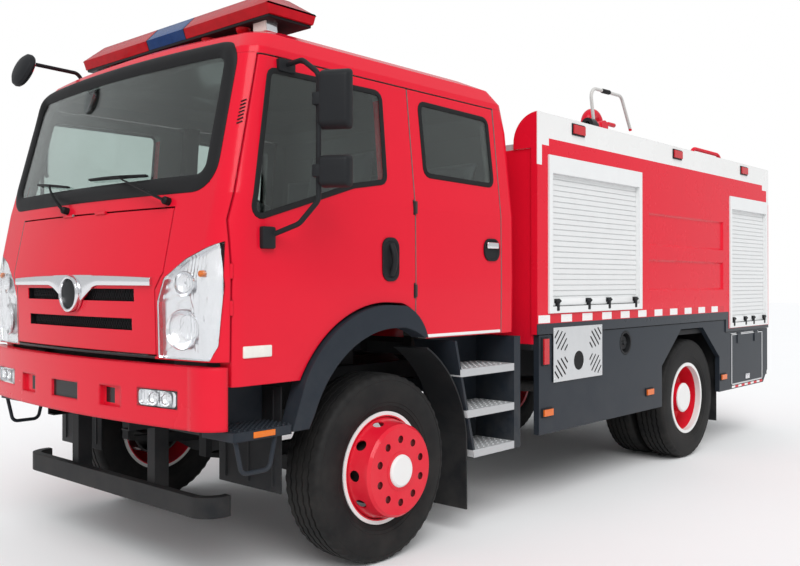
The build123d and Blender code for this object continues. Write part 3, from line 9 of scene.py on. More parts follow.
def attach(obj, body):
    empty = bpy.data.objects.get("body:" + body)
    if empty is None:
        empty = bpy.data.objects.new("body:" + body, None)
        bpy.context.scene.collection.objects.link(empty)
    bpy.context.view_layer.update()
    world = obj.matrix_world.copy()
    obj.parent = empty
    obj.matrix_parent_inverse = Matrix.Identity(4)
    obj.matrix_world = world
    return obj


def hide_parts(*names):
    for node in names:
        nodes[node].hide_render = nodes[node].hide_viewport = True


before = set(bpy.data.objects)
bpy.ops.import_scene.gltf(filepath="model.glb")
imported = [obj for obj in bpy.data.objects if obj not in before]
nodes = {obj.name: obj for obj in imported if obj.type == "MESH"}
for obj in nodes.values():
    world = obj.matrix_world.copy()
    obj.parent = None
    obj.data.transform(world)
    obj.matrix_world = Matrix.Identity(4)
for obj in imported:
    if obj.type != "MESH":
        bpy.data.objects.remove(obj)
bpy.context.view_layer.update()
scene = bpy.context.scene

# Viewpoint: a person stands off the truck's left front corner, with the eye at shoulder height
# of the cab door, and sees the whole vehicle.
FRONT_AXLE, REAR_AXLE = -2.305, 1.545
EYE_TILT, EYE_PAN = 0.0044, 0.7312


def along(y):
    """A place along the truck, given from the front axle."""
    return FRONT_AXLE + y


lens = bpy.data.cameras.new("viewpoint")
lens.sensor_fit = "HORIZONTAL"
lens.sensor_width, lens.lens = 36, 39.79
lens.shift_x, lens.shift_y = -0.00125, -0.0073
lens.clip_end = 300
eye = bpy.data.objects.new("viewpoint", lens)
eye.location = (4.4426, along(-3.5034), 1.5195)
eye.rotation_euler = (math.pi / 2 + EYE_TILT, 0, EYE_PAN)
scene.collection.objects.link(eye)
scene.camera = eye
scene.view_settings.view_transform = "Standard"


# Studio: a pale smooth floor under an even white sky, with one broad soft lamp from the left
# front so that the sides shade a little.
def put(tree, kind, values=None, **settings):
    """Adds a shader node with its settings and the values of its unlinked sockets."""
    made = tree.nodes.new("ShaderNode" + kind)
    for name, value in settings.items():
        setattr(made, name, value)
    for name, value in (values or {}).items():
        made.inputs[name].default_value = value
    return made


def join(tree, parts, links):
    """Joins named nodes. Each link reads: node.output > node.input, by socket name or number."""
    for link in links.split(","):
        (source, out), (target, into) = (end.strip().split(".") for end in link.split(">"))
        tree.links.new(parts[source].outputs[int(out) if out.isdigit() else out],
                       parts[target].inputs[int(into) if into.isdigit() else into])


def new_look(name, values):
    """A material, its node tree and its shader with some values set."""
    look = bpy.data.materials.new(name)
    look.use_nodes = True
    shader = look.node_tree.nodes["Principled BSDF"]
    for socket, value in values.items():
        shader.inputs[socket].default_value = value
    return look, look.node_tree, shader


def two_tone(name, values, noise, tones, film=None):
    """A finish that drifts between two tones, and between two roughnesses under a film."""
    look, tree, shader = new_look(name, values)
    parts = {"shader": shader, "place": put(tree, "TexCoord"), "noise": put(tree, "TexNoise", noise),
             "tone": put(tree, "ValToRGB")}
    for stop, tone in zip(parts["tone"].color_ramp.elements, tones):
        stop.color = (*tone, 1)
    join(tree, parts, "place.Object > noise.Vector, noise.Fac > tone.Fac, tone.Color > shader.Base Color")
    if film:
        parts["film"] = put(tree, "MapRange", {"To Min": film[0], "To Max": film[1]})
        join(tree, parts, "noise.Fac > film.Value, film.0 > shader.Roughness")
    return look


FLOOR_R = 60
floor_mesh = bmesh.new()
bmesh.ops.create_circle(floor_mesh, cap_ends=True, segments=96, radius=FLOOR_R)
floor_data = bpy.data.meshes.new("floor")
floor_mesh.to_mesh(floor_data)
floor_mesh.free()
floor = bpy.data.objects.new("floor", floor_data)
scene.collection.objects.link(floor)
floor_data.materials.append(two_tone("floor", {"Specular IOR Level": 0.1, "Roughness": 0.8},
                                     {"Scale": 0.6, "Detail": 3}, [(0.93, 0.93, 0.935), (0.95, 0.95, 0.95)]))

sky = bpy.data.worlds.new("studio")
scene.world = sky
sky.use_nodes = True
sky_tree = sky.node_tree
sky_tree.nodes.clear()
FILL_STRENGTH = 0.66
join(sky_tree, {
    "path": put(sky_tree, "LightPath"), "seen": put(sky_tree, "Math", operation="MAXIMUM"),
    "fill": put(sky_tree, "Background", {"Color": (0.97, 0.985, 1, 1), "Strength": FILL_STRENGTH}),
    "back": put(sky_tree, "Background", {"Color": (1, 1, 1, 1), "Strength": 1}),
    "mix": put(sky_tree, "MixShader"), "out": put(sky_tree, "OutputWorld")},
    "path.Is Camera Ray > seen.0, path.Is Transmission Ray > seen.1, seen.0 > mix.0, "
    "fill.0 > mix.1, back.0 > mix.2, mix.0 > out.0")

lamp = bpy.data.lights.new("soft_lamp", "SUN")
lamp.energy = 1.85
lamp.angle = 0.7
lamp_holder = bpy.data.objects.new("soft_lamp", lamp)
lamp_holder.rotation_euler = [math.radians(turn) for turn in (46, 3, 47)]
scene.collection.objects.link(lamp_holder)


# Frame and running gear: pressed steel rails, cast axles and springs under one coat of
# dark chassis paint, dusty from the road.
def effect(name, inputs, outputs):
    """An empty shader node group with its named sockets, and its two end nodes."""
    tree = bpy.data.node_groups.new(name, "ShaderNodeTree")
    for label, kind, value in inputs:
        socket = tree.interface.new_socket(label, in_out="INPUT", socket_type="NodeSocket" + kind)
        socket.default_value = value
    for label, kind in outputs:
        tree.interface.new_socket(label, in_out="OUTPUT", socket_type="NodeSocket" + kind)
    return tree, {"in": tree.nodes.new("NodeGroupInput"), "out": tree.nodes.new("NodeGroupOutput")}


def give_all(tree, parts, tests):
    """Gives out the mask where all of a group's tests hold."""
    whole = tests[0]
    for test in tests[1:]:
        product = put(tree, "Math", operation="MULTIPLY")
        join(tree, {"a": whole, "b": test, "both": product}, "a.0 > both.0, b.0 > both.1")
        whole = product
    join(tree, {"mask": whole, **parts}, "mask.0 > out.0")


weather, parts = effect(
    "road_weather",
    [("Colour", "Color", (0.5, 0.5, 0.5, 1)), ("Scale", "Float", 6), ("Mottle", "Float", 0.1),
     ("Dust", "Float", 0.2), ("Dust Top", "Float", 1.0), ("Roughness", "Float", 0.4), ("Grain", "Float", 0.1),
     ("Edge", "Float", 0.005)],
    [("Colour", "Color"), ("Roughness", "Float"), ("Normal", "Vector")])
ROAD_DUST = (0.27, 0.24, 0.2, 1)
parts.update(
    place=put(weather, "TexCoord"),
    broad=put(weather, "TexNoise", {"Detail": 4, "Roughness": 0.6}),
    fine_scale=put(weather, "Math", {1: 40}, operation="MULTIPLY"),
    fine=put(weather, "TexNoise", {"Detail": 3}),
    shade_low=put(weather, "Math", {0: 1}, operation="SUBTRACT"),
    shade_high=put(weather, "Math", {0: 1}, operation="ADD"),
    shade=put(weather, "MapRange"),
    tint=put(weather, "VectorMath", operation="SCALE"),
    height=put(weather, "SeparateXYZ"),
    low_dust=put(weather, "MapRange", {"From Min": 0, "To Min": 1, "To Max": 0}),
    dust_patch=put(weather, "MapRange", {"From Min": 0.35, "From Max": 0.75}),
    dust_mask=put(weather, "Math", operation="MULTIPLY"),
    dust_part=put(weather, "Math", operation="MULTIPLY"),
    dusty=put(weather, "Mix", {"B": ROAD_DUST}, data_type="RGBA"),
    swing=put(weather, "MapRange", {"To Min": -0.06, "To Max": 0.08}),
    rough=put(weather, "Math", operation="ADD"),
    rough_dust=put(weather, "Math", {1: 0.5}, operation="MULTIPLY_ADD"),
    rounded=put(weather, "Bevel", samples=4),
    peel=put(weather, "Bump", {"Distance": 0.0006}))
join(weather, parts, """
    place.Object > broad.Vector, in.Scale > broad.Scale, in.Scale > fine_scale.0,
    place.Object > fine.Vector, fine_scale.0 > fine.Scale, in.Mottle > shade_low.1, in.Mottle > shade_high.1,
    broad.Fac > shade.Value, shade_low.0 > shade.To Min, shade_high.0 > shade.To Max,
    in.Colour > tint.0, shade.0 > tint.Scale, place.Object > height.0, height.Z > low_dust.Value,
    in.Dust Top > low_dust.From Max, broad.Fac > dust_patch.Value, low_dust.0 > dust_mask.0,
    dust_patch.0 > dust_mask.1, dust_mask.0 > dust_part.0, in.Dust > dust_part.1,
    dust_part.0 > dusty.Factor, tint.0 > dusty.A, broad.Fac > swing.Value, in.Roughness > rough.0,
    swing.0 > rough.1, dust_part.0 > rough_dust.0, rough.0 > rough_dust.2, in.Edge > rounded.Radius,
    rounded.0 > peel.Normal, in.Grain > peel.Strength, fine.Fac > peel.Height,
    dusty.Result > out.Colour, rough_dust.0 > out.Roughness, peel.0 > out.Normal""")

zone, parts = effect("paint_zone", [("Middle", "Vector", (0, 0, 0)), ("Half", "Vector", (1, 1, 1))],
                     [("Mask", "Float")])
parts.update(place=put(zone, "TexCoord"), fold=put(zone, "VectorMath", operation="ABSOLUTE"))
parts.update((name, put(zone, "SeparateXYZ")) for name in ("at", "side", "middle", "half"))
join(zone, parts, """place.Object > at.0, place.Object > fold.0, fold.0 > side.0,
     in.Middle > middle.0, in.Half > half.0""")
tests = []
for axis, at in (("X", "side"), ("Y", "at"), ("Z", "at")):
    parts["near"] = put(zone, "Math", operation="COMPARE")
    join(zone, parts, f"{at}.{axis} > near.0, middle.{axis} > near.1, half.{axis} > near.2")
    tests.append(parts["near"])
give_all(zone, parts, tests)


def overlay(look, group, values, colour):
    """Lays another colour over a weathered finish where a mask holds."""
    tree = look.node_tree
    parts = {"film": tree.nodes["film"], "mask": put(tree, "Group", values, node_tree=group),
             "over": put(tree, "Mix", {"B": (*colour, 1)}, data_type="RGBA")}
    under = parts["film"].inputs["Colour"]
    parts["over"].inputs["A"].default_value = under.default_value
    if under.links:
        tree.links.new(under.links[0].from_socket, parts["over"].inputs["A"])
    join(tree, parts, "mask.Mask > over.Factor, over.Result > film.Colour")


def painted(name, colour, roughness, zones=(), mottle=0.06, dust=0.15, dust_top=1.0, scale=5, grain=0.08,
            edge=0.005, metallic=0.0, coat=0.0, specular=0.15):
    """A weathered finish. Each zone is another colour inside a box, the same on both sides of the truck."""
    look, tree, shader = new_look(name, {"Metallic": metallic, "Coat Weight": coat, "Coat Roughness": 0.05,
                                         "Specular IOR Level": specular})
    film = put(tree, "Group", {"Colour": (*colour, 1), "Scale": scale, "Mottle": mottle, "Dust": dust,
                               "Dust Top": dust_top, "Roughness": roughness, "Grain": grain, "Edge": edge},
               node_tree=weather, name="film")
    for other, low, high in zones:
        overlay(look, zone, {"Middle": [(a + b) / 2 for a, b in zip(low, high)],
                             "Half": [(b - a) / 2 for a, b in zip(low, high)]}, other)
    join(tree, {"film": film, "shader": shader}, """film.Colour > shader.Base Color,
         film.Roughness > shader.Roughness, film.Normal > shader.Normal""")
    return look


def dress(look, *names):
    """Gives CAD pieces a finish."""
    for name in names:
        nodes[name].data.materials.clear()
        nodes[name].data.materials.append(look)


chassis_paint = painted("chassis_paint", (0.018, 0.019, 0.021), 0.5, mottle=0.25, dust=0.12, dust_top=1.2,
                        grain=0.25)
cast_grey = painted("cast_grey", (0.07, 0.07, 0.072), 0.6, mottle=0.3, dust=0.5, dust_top=0.9, grain=0.5,
                    scale=9)
dress(chassis_paint, "frame_rails", "frame_crossmembers", "leaf_springs", "rear_axle_housing",
      "front_axle_beam", "underrun_bar", "mudguards")
dress(cast_grey, "driveline", "knuckle_left", "knuckle_right")


# Tyres: steel-belted truck tyres with five ribs parted by zigzag grooves, notched shoulders and
# plain sidewalls with moulded rings, each on its rim's bead.
TYRE_R = 0.510
OUTER_X, INNER_X = 1.060, 0.760
RIB_GROOVES = (-0.064, -0.022, 0.022, 0.064)
GROOVE_HALF, GROOVE_DEEP, ZIGZAG, NOTCH = 0.0066, 0.014, 0.0040, 0.0045
ROUND_STEPS = 192
SIDEWALL = [
    (0.090, 0.2910), (0.100, 0.2965), (0.1095, 0.310), (0.1150, 0.3225), (0.1185, 0.333), (0.1215, 0.3345),
    (0.1228, 0.341), (0.1238, 0.352), (0.1262, 0.3545), (0.1285, 0.378), (0.1296, 0.400), (0.1300, 0.420),
    (0.1290, 0.440), (0.1268, 0.456), (0.1240, 0.470), (0.1258, 0.473), (0.1236, 0.484)]
SHOULDER = [(0.1185, 0.494), (0.1120, 0.5005), (0.1000, 0.5052)]
SIDES = ((1, "left"), (-1, "right"))


def crown(x):
    """Radius of the tread at a distance from the tyre's middle."""
    return TYRE_R - 0.0009 - 0.0042 * (x / 0.1) ** 2


def tyre_section():
    """Outline points as (x, radius, zigzag, notch) from the left bead to the right bead."""
    right = [(x, r, 0, 0) for x, r in SIDEWALL] + [(x, r, 0, 1) for x, r in SHOULDER]
    tread = []
    for middle in RIB_GROOVES:
        for share, drop in ((-1, 0), (-0.6, 1), (0.6, 1), (1, 0)):
            x = middle + share * GROOVE_HALF
            tread.append((x, crown(x) - drop * GROOVE_DEEP, 1, 0))
    left = [(-x, r, z, n) for x, r, z, n in right]
    return left + tread + right[::-1]


def skin(rings, loop=False, open_start=False):
    """A shape through rings of points: a closed loop of them, or a run with closed ends."""
    shape = bmesh.new()
    made = [[shape.verts.new(p) for p in ring] for ring in rings]
    for a, b in zip(made, made[1:] + (made[:1] if loop else [])):
        for k in range(len(a)):
            n = (k + 1) % len(a)
            shape.faces.new((a[k], a[n], b[n], b[k]))
    if not loop:
        for ring in made[-1:] if open_start else (made[0], made[-1]):
            shape.faces.new(ring)
    bmesh.ops.recalc_face_normals(shape, faces=shape.faces)
    return shape


def tyre_shape(x, y):
    """A tyre in its place on an axle."""
    section, rings = tyre_section(), []
    for i in range(ROUND_STEPS):
        angle = 2 * math.pi * i / ROUND_STEPS
        swing = (0, 1, 0, -1)[i % 4] * ZIGZAG
        notch = NOTCH * ((i // 2) % 2)
        rings.append([(x + px + swing * zig, y + (r - notch * cut) * math.cos(angle),
                       TYRE_R + (r - notch * cut) * math.sin(angle)) for px, r, zig, cut in section])
    return skin(rings, loop=True)


def gather(*shapes):
    """One shape made of several, which are used up."""
    whole = bmesh.new()
    for shape in shapes:
        scrap = bpy.data.meshes.new("scrap")
        shape.to_mesh(scrap)
        shape.free()
        whole.from_mesh(scrap)
        bpy.data.meshes.remove(scrap)
    return whole


def fit(name, shape, look, body, crease=35):
    """Makes a shape into a named piece with its finish, on its CAD body."""
    data = bpy.data.meshes.new(name)
    shape.to_mesh(data)
    shape.free()
    data.shade_smooth()
    data.set_sharp_from_angle(angle=math.radians(crease))
    data.materials.append(look)
    made = bpy.data.objects.new(name, data)
    scene.collection.objects.link(made)
    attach(made, body)
    return made


rubber = painted("tyre_rubber", (0.011, 0.011, 0.0115), 0.62, mottle=0.25, dust=0.06, dust_top=2.2, scale=7,
                 grain=0.3, edge=0.001, specular=0.18)
for side, word in SIDES:
    letter = word[0]
    front_tyre = fit(f"tread_front_{word}", tyre_shape(side * OUTER_X, FRONT_AXLE), rubber,
                     f"wheel_f{letter}")
    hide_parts(f"front_tyre_{word}")
    twin = gather(tyre_shape(side * OUTER_X, REAR_AXLE), tyre_shape(side * INNER_X, REAR_AXLE))
    rear_tyre = fit(f"tread_rear_{word}", twin, rubber, f"wheel_r{letter}")
    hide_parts(f"rear_tyres_{word}")


# Wheels: pressed steel discs in red with white rim flanges and white hub caps, each held by
# ten nuts on studs.
RED = (0.72, 0.0075, 0.028)
WHITE = (0.80, 0.80, 0.79)
ring_mask, parts = effect(
    "round_axle",
    [("Axle", "Vector", (0, 0, 0)), ("From", "Float", 0), ("To", "Float", 1), ("Inboard", "Float", 0),
     ("Outboard", "Float", 2)], [("Mask", "Float")])
parts.update(
    place=put(ring_mask, "TexCoord"), off=put(ring_mask, "VectorMath", operation="SUBTRACT"),
    flat=put(ring_mask, "VectorMath", {1: (0, 1, 1)}, operation="MULTIPLY"),
    far=put(ring_mask, "VectorMath", operation="LENGTH"), at=put(ring_mask, "SeparateXYZ"),
    aside=put(ring_mask, "Math", operation="ABSOLUTE"))
join(ring_mask, parts, """place.Object > off.0, in.Axle > off.1, off.0 > flat.0, flat.0 > far.0,
     place.Object > at.0, at.X > aside.0""")
tests = []
for value, label, operation in (("far.Value", "From", "GREATER_THAN"), ("far.Value", "To", "LESS_THAN"),
                                ("aside.0", "Inboard", "GREATER_THAN"), ("aside.0", "Outboard", "LESS_THAN")):
    parts["test"] = put(ring_mask, "Math", operation=operation)
    join(ring_mask, parts, f"{value} > test.0, in.{label} > test.1")
    tests.append(parts["test"])
give_all(ring_mask, parts, tests)


def wheel_paint(name, axle_y, rings):
    """Red wheel enamel with rings of other colours round the axle."""
    look = painted(name, RED, 0.3, mottle=0.08, dust=0.12, dust_top=2, grain=0.06, edge=0.003, coat=0.3)
    for colour, start, end, inboard, outboard in rings:
        overlay(look, ring_mask, {"Axle": (0, axle_y, TYRE_R), "From": start, "To": end, "Inboard": inboard,
                                  "Outboard": outboard}, colour)
    return look


DRUM_GREY = (0.03, 0.03, 0.03)
# The walls of the front discs' nut holes are darkened: painted shade in the recesses round the nuts.
NUT_HOLE_SHADE_RED = (0.10, 0.003, 0.006)
front_wheel_paint = wheel_paint("front_wheel_paint", FRONT_AXLE, [
    (DRUM_GREY, 0, 0.225, 0, 1.262), (NUT_HOLE_SHADE_RED, 0.146, 0.189, 1.250, 1.2973), (WHITE, 0.2835, 1, 0, 2),
    (WHITE, 0, 0.0865, 1.299, 2)])
rear_wheel_paint = wheel_paint("rear_wheel_paint", REAR_AXLE, [
    (DRUM_GREY, 0, 0.24, 0, 0.915), (WHITE, 0.2735, 1, 1.125, 2), (WHITE, 0, 0.127, 1.132, 2)])
dress(front_wheel_paint, "front_wheel_left", "front_wheel_right")
dress(rear_wheel_paint, "rear_wheels_left", "rear_wheels_right")


def lathe(profile, at, way=(1, 0, 0), steps=24, loop=False):
    """Round shape on an axis through a point, from (distance, radius) points; a loop is a closed ring."""
    turn = Vector((1, 0, 0)).rotation_difference(Vector(way)).to_matrix().to_4x4()
    spot = Matrix.Translation(at) @ turn
    angles = [2 * math.pi * i / steps for i in range(steps)]
    return skin([[spot @ Vector((x, r * math.cos(a), r * math.sin(a))) for a in angles] for x, r in profile],
                loop)


NUTS, NUT_CIRCLE = 10, 0.1675


def nut_ring(side, face, axle_y, nut, tall):
    """A disc's wheel nuts, each with its stud's end."""
    shapes = []
    for i in range(NUTS):
        angle = 2 * math.pi * i / NUTS
        spot = (side * face, axle_y + NUT_CIRCLE * math.cos(angle), TYRE_R + NUT_CIRCLE * math.sin(angle))
        for profile, steps in (
                ([(-0.012, nut), (tall * 0.85, nut), (tall, nut * 0.82)], 6),
                ([(0, nut * 0.52), (tall + 0.006, nut * 0.52), (tall + 0.009, nut * 0.4)], 12)):
            shapes.append(lathe(profile, spot, (side, 0, 0), steps))
    return gather(*shapes)


nut_paint = painted("wheel_nuts", (0.33, 0.012, 0.02), 0.4, mottle=0.2, dust=0.2, dust_top=2, grain=0.1,
                    edge=0.001)
for side, word in SIDES:
    for place, face, axle_y, nut, tall in (("front", 1.264, FRONT_AXLE, 0.0130, 0.018),
                                           ("rear", 0.934, REAR_AXLE, 0.019, 0.024)):
        fit(f"nuts_{place}_{word}", nut_ring(side, face, axle_y, nut, tall), nut_paint,
            f"wheel_{place[0]}{word[0]}")


# Cab shell, doors, front lid and bumper: pressed steel sprayed with one red enamel, as is the
# moulded bumper; the faces that look into the cab carry grey trim, and slot walls are painted black
# as shade, as is the strip of cab front seen in the gap over the bumper.
# Black for the monitor's nozzle, and as painted shade in the cab front's gap and slots.
BLACK_AND_PAINTED_SHADE = (0.012, 0.012, 0.013)
LINER = (0.24, 0.24, 0.23)
CAB_MIDDLE = (0, along(0.05), 2.0)
inward, parts = effect("cab_inside", [("Middle", "Vector", (0, 0, 0))], [("Mask", "Float")])
parts.update(place=put(inward, "TexCoord"), off=put(inward, "VectorMath", operation="SUBTRACT"),
             dot=put(inward, "VectorMath", operation="DOT_PRODUCT"),
             test=put(inward, "Math", {1: -0.03}, operation="LESS_THAN"))
join(inward, parts, """place.Object > off.0, in.Middle > off.1, off.0 > dot.0, place.Normal > dot.1,
     dot.Value > test.0, test.0 > out.0""")


def lined(look):
    """Grey trim on the faces that look into the cab."""
    overlay(look, inward, {"Middle": CAB_MIDDLE}, LINER)
    return look


ENAMEL = {"mottle": 0.035, "dust": 0.05, "dust_top": 1.4, "scale": 3, "grain": 0.035, "coat": 0.14,
          "edge": 0.008}
red_enamel = painted("red_enamel", RED, 0.22, **ENAMEL)
cab_enamel = lined(painted("cab_enamel", RED, 0.22, **ENAMEL))
dress(cab_enamel, "cab_roof", "cab_back", "front_door_left", "front_door_right", "rear_door_left",
      "rear_door_right")
# The strip of cab front seen in the gap over the bumper and below the headlamps is painted black: painted shade in
# the gap.
front_paint_and_gap_shade = painted("front_paint_and_gap_shade", RED, 0.22, [
    (BLACK_AND_PAINTED_SHADE, (-1, along(-2), 0.9), (0.715, along(-0.6), 1.164)),
    (BLACK_AND_PAINTED_SHADE, (-1, along(-2), 0.9), (1.060, along(-0.6), 1.136))], **ENAMEL)
dress(lined(front_paint_and_gap_shade), "cab_front")
# The walls of the lid's two grille slots are painted black: painted shade inside the slots.
lid_paint_and_slot_shade = painted("lid_paint_and_slot_shade", RED, 0.22, [
    (BLACK_AND_PAINTED_SHADE, (-1, along(-1.139), 1.415), (0.565, along(-0.9), 1.484)),
    (BLACK_AND_PAINTED_SHADE, (-1, along(-1.139), 1.272), (0.543, along(-0.9), 1.338))], **ENAMEL)
dress(lid_paint_and_slot_shade, "front_panel")
# The walls of the bumper's recesses are painted black: painted shade inside them.
bumper_paint_and_slot_shade = painted("bumper_paint_and_slot_shade", RED, 0.24, [
    (BLACK_AND_PAINTED_SHADE, (-1, along(-1.208), 0.906), (0.136, along(-0.9), 0.994)),
    (BLACK_AND_PAINTED_SHADE, (0.36, along(-1.178), 0.912), (0.44, along(-0.9), 0.988))],
    **{**ENAMEL, "dust": 0.08, "dust_top": 1.2, "edge": 0.022})
dress(bumper_paint_and_slot_shade, "front_bumper")


# Window rubbers: black moulded strips round the windscreen and the door windows, pressed
# over the edge of the glass.
STRIP_SECTION = [(-0.5, -0.3), (-0.5, 0.2), (-0.4, 0.75), (-0.15, 1), (0.15, 1), (0.4, 0.75), (0.5, 0.2),
                 (0.5, -0.3)]
STRIP_PITCH, MOST_BULGE = 0.02, 0.03
CORNER_STEPS, LEAST_POINTS = 6, 24
START_LEFT, START_FRONT, FAR = 1.8, -5, 6


def surface(*names):
    """A tree of the faces of CAD pieces, for laying trim on them."""
    points, faces = [], []
    for name in names:
        data = nodes[name].data
        base = len(points)
        points += [v.co.copy() for v in data.vertices]
        faces += [[base + i for i in p.vertices] for p in data.polygons]
    return BVHTree.FromPolygons(points, faces)


def from_left(y, z):
    """A line of sight towards the truck's left side."""
    return Vector((START_LEFT, y, z)), Vector((-1, 0, 0))


def from_front(x, z):
    """A line of sight towards the truck's front."""
    return Vector((x, START_FRONT, z)), Vector((0, 1, 0))


def touch(tree, start, way):
    """Where a line first meets the surface, and the surface's outward direction there."""
    hit, normal, _, _ = tree.ray_cast(start, way, FAR)
    if hit is None:
        hit, normal, _, _ = tree.find_nearest(start + way * 0.7)
    return hit, (normal if normal.dot(way) < 0 else -normal)


def rounded_loop(corners, radius, pitch):
    """A closed outline with round corners, as evenly spaced points."""
    path = []
    count = len(corners)
    for i in range(count):
        at, before, after = (Vector(corners[k % count]) for k in (i, i - 1, i + 1))
        to_before, to_after = (before - at).normalized(), (after - at).normalized()
        half = to_before.angle(to_after) / 2
        reach = radius / math.tan(half)
        middle = at + (to_before + to_after).normalized() * (radius / math.sin(half))
        start, end = at + to_before * reach - middle, at + to_after * reach - middle
        sweep = start.angle_signed(end)
        for k in range(CORNER_STEPS + 1):
            turn = -sweep * k / CORNER_STEPS
            path.append(middle + Vector((start.x * math.cos(turn) - start.y * math.sin(turn),
                                         start.x * math.sin(turn) + start.y * math.cos(turn))))
    path.append(path[0])
    lengths = [0]
    for a, b in zip(path, path[1:]):
        lengths.append(lengths[-1] + (b - a).length)
    total = lengths[-1]
    number = max(LEAST_POINTS, round(total / pitch))
    even, k = [], 0
    for i in range(number):
        want = total * i / number
        while lengths[k + 1] < want:
            k += 1
        share = (want - lengths[k]) / max(lengths[k + 1] - lengths[k], 1e-9)
        even.append(path[k].lerp(path[k + 1], share))
    return even


def rubber_strip(tree, corners, radius, width, proud, aim):
    """A closed moulded strip laid on a surface along an outline seen from one side."""
    loop = rounded_loop(corners, radius, STRIP_PITCH)
    laid, rings = [], []
    for i, spot in enumerate(loop):
        ahead = (loop[(i + 1) % len(loop)] - loop[i - 1]).normalized()
        across = Vector((-ahead.y, ahead.x))
        (edge_a, up_a), (edge_b, up_b) = (
            touch(tree, *aim(*(spot + across * (half * width)))) for half in (-0.5, 0.5))
        up = (up_a + up_b).normalized()
        bulge = 0
        for half in (-0.25, 0, 0.25):
            hit, _ = touch(tree, *aim(*(spot + across * (half * width))))
            bulge = max(bulge, min(MOST_BULGE, (hit - edge_a.lerp(edge_b, half + 0.5)).dot(up)))
        laid.append((edge_a, edge_b, up, bulge))
    for i, (edge_a, edge_b, up, _) in enumerate(laid):
        near = [max(laid[(i + j + k) % len(laid)][3] for k in range(-3, 4)) for j in range(-5, 6)]
        bulge = sum(near) / len(near)
        rings.append([edge_a.lerp(edge_b, share + 0.5)
                      + up * (lift * proud + 1.33 * bulge * (1 - 4 * share * share))
                      for share, lift in STRIP_SECTION])
    return skin(rings, loop=True)


def opposite(shape):
    """The same shape on the other side of the truck."""
    twin = shape.copy()
    bmesh.ops.scale(twin, vec=(-1, 1, 1), verts=twin.verts)
    bmesh.ops.reverse_faces(twin, faces=twin.faces)
    return twin


def two_bodies(name, shape, look, body):
    """A piece on the left body of a pair, and the same on the right one."""
    right = opposite(shape)
    return [fit(f"{name}_{word}", half, look, body + word[0])
            for half, word in ((shape, "left"), (right, "right"))]


seal_rubber = painted("seal_rubber", (0.014, 0.014, 0.015), 0.55, mottle=0.2, dust=0.0, grain=0.2, scale=10,
                      edge=0.001)
FRONT_WINDOW = [(along(-0.897), 1.807), (along(-0.736), 2.547), (along(0.045), 2.554), (along(0.037), 2.062),
                (along(-0.215), 2.020)]
REAR_WINDOW = [(along(0.380), 2.130), (along(0.372), 2.550), (along(1.025), 2.540), (along(1.035), 2.120)]
SCREEN = [(-0.998, 1.985), (-0.964, 2.662), (0.964, 2.662), (0.998, 1.985)]
for word, corners in (("front", FRONT_WINDOW), ("rear", REAR_WINDOW)):
    door_skin = surface(f"{word}_door_left", f"{word}_door_glass_left")
    two_bodies(f"{word}_window_rubber", rubber_strip(door_skin, corners, 0.042, 0.030, 0.007, from_left),
               seal_rubber, f"door_{word[0]}")
screen_skin = surface("windscreen", "cab_front", "cab_roof")
fit("windscreen_rubber", rubber_strip(screen_skin, SCREEN, 0.10, 0.085, 0.012, from_front), seal_rubber,
    "chassis")


# Safety glass: slightly green tinted sheets in the doors and a laminated windscreen, held by
# the rubbers.
glass = two_tone("safety_glass", {"Transmission Weight": 1, "IOR": 1.45}, {"Scale": 4, "Detail": 3},
                 [(0.55, 0.63, 0.60), (0.62, 0.70, 0.68)], (0.0, 0.03))
dress(glass, "windscreen", "front_door_glass_left", "front_door_glass_right", "rear_door_glass_left",
      "rear_door_glass_right")


# Wipers: two black pressed arms on spindles below the windscreen, each with a sprung blade
# resting on the glass.
def bar(points, radius, sides=10, flat=1.0):
    """A rod along a line of points, with round or flattened section and closed ends."""
    points = [Vector(p) for p in points]
    rings, side_way = [], None
    for i, spot in enumerate(points):
        ahead = (points[min(i + 1, len(points) - 1)] - points[max(i - 1, 0)]).normalized()
        if side_way is None:
            other = Vector((0, 0, 1)) if abs(ahead.z) < 0.9 else Vector((0, 1, 0))
            side_way = ahead.cross(other).normalized()
        side_way = (side_way - ahead * side_way.dot(ahead)).normalized()
        up = ahead.cross(side_way)
        size = radius[i] if isinstance(radius, (list, tuple)) else radius
        rings.append([spot + size * (side_way * math.cos(2 * math.pi * k / sides)
                                     + up * (flat * math.sin(2 * math.pi * k / sides)))
                      for k in range(sides)])
    return skin(rings)


def on_front(tree, x, z, off):
    """A point off a surface that is seen from the front."""
    hit, normal = touch(tree, *from_front(x, z))
    return hit + normal * off


def wiper(pivot, elbow, blade):
    """An arm on its spindle, with a blade between two ends, all laid on the windscreen."""
    foot = on_front(screen_skin, *pivot, 0.012)
    normal = touch(screen_skin, *from_front(*pivot))[1]
    hub = lathe([(-0.02, 0.020), (0.018, 0.020), (0.026, 0.014)], foot, normal, 16)
    knee = [on_front(screen_skin, pivot[0] + (elbow[0] - pivot[0]) * t, pivot[1] + (elbow[1] - pivot[1]) * t,
                     0.030 + 0.016 * math.sin(math.pi * t)) for t in (0, 0.15, 0.35, 0.6, 0.8, 1)]
    arm = bar(knee, [0.013, 0.012, 0.010, 0.008, 0.007, 0.006], 8, 0.6)
    rail, lip = [], []
    for k in range(13):
        t = k / 12
        spot = [blade[0][i] + (blade[1][i] - blade[0][i]) * t for i in range(2)]
        rail.append(on_front(screen_skin, *spot, 0.018 + 0.012 * math.sin(math.pi * t)))
        lip.append(on_front(screen_skin, *spot, 0.008))
    claws = [bar([rail[k], lip[k]], 0.005, 6) for k in (1, 4, 8, 11)]
    return gather(hub, arm, bar(rail, 0.006, 6), bar(lip, 0.0065, 6), *claws)


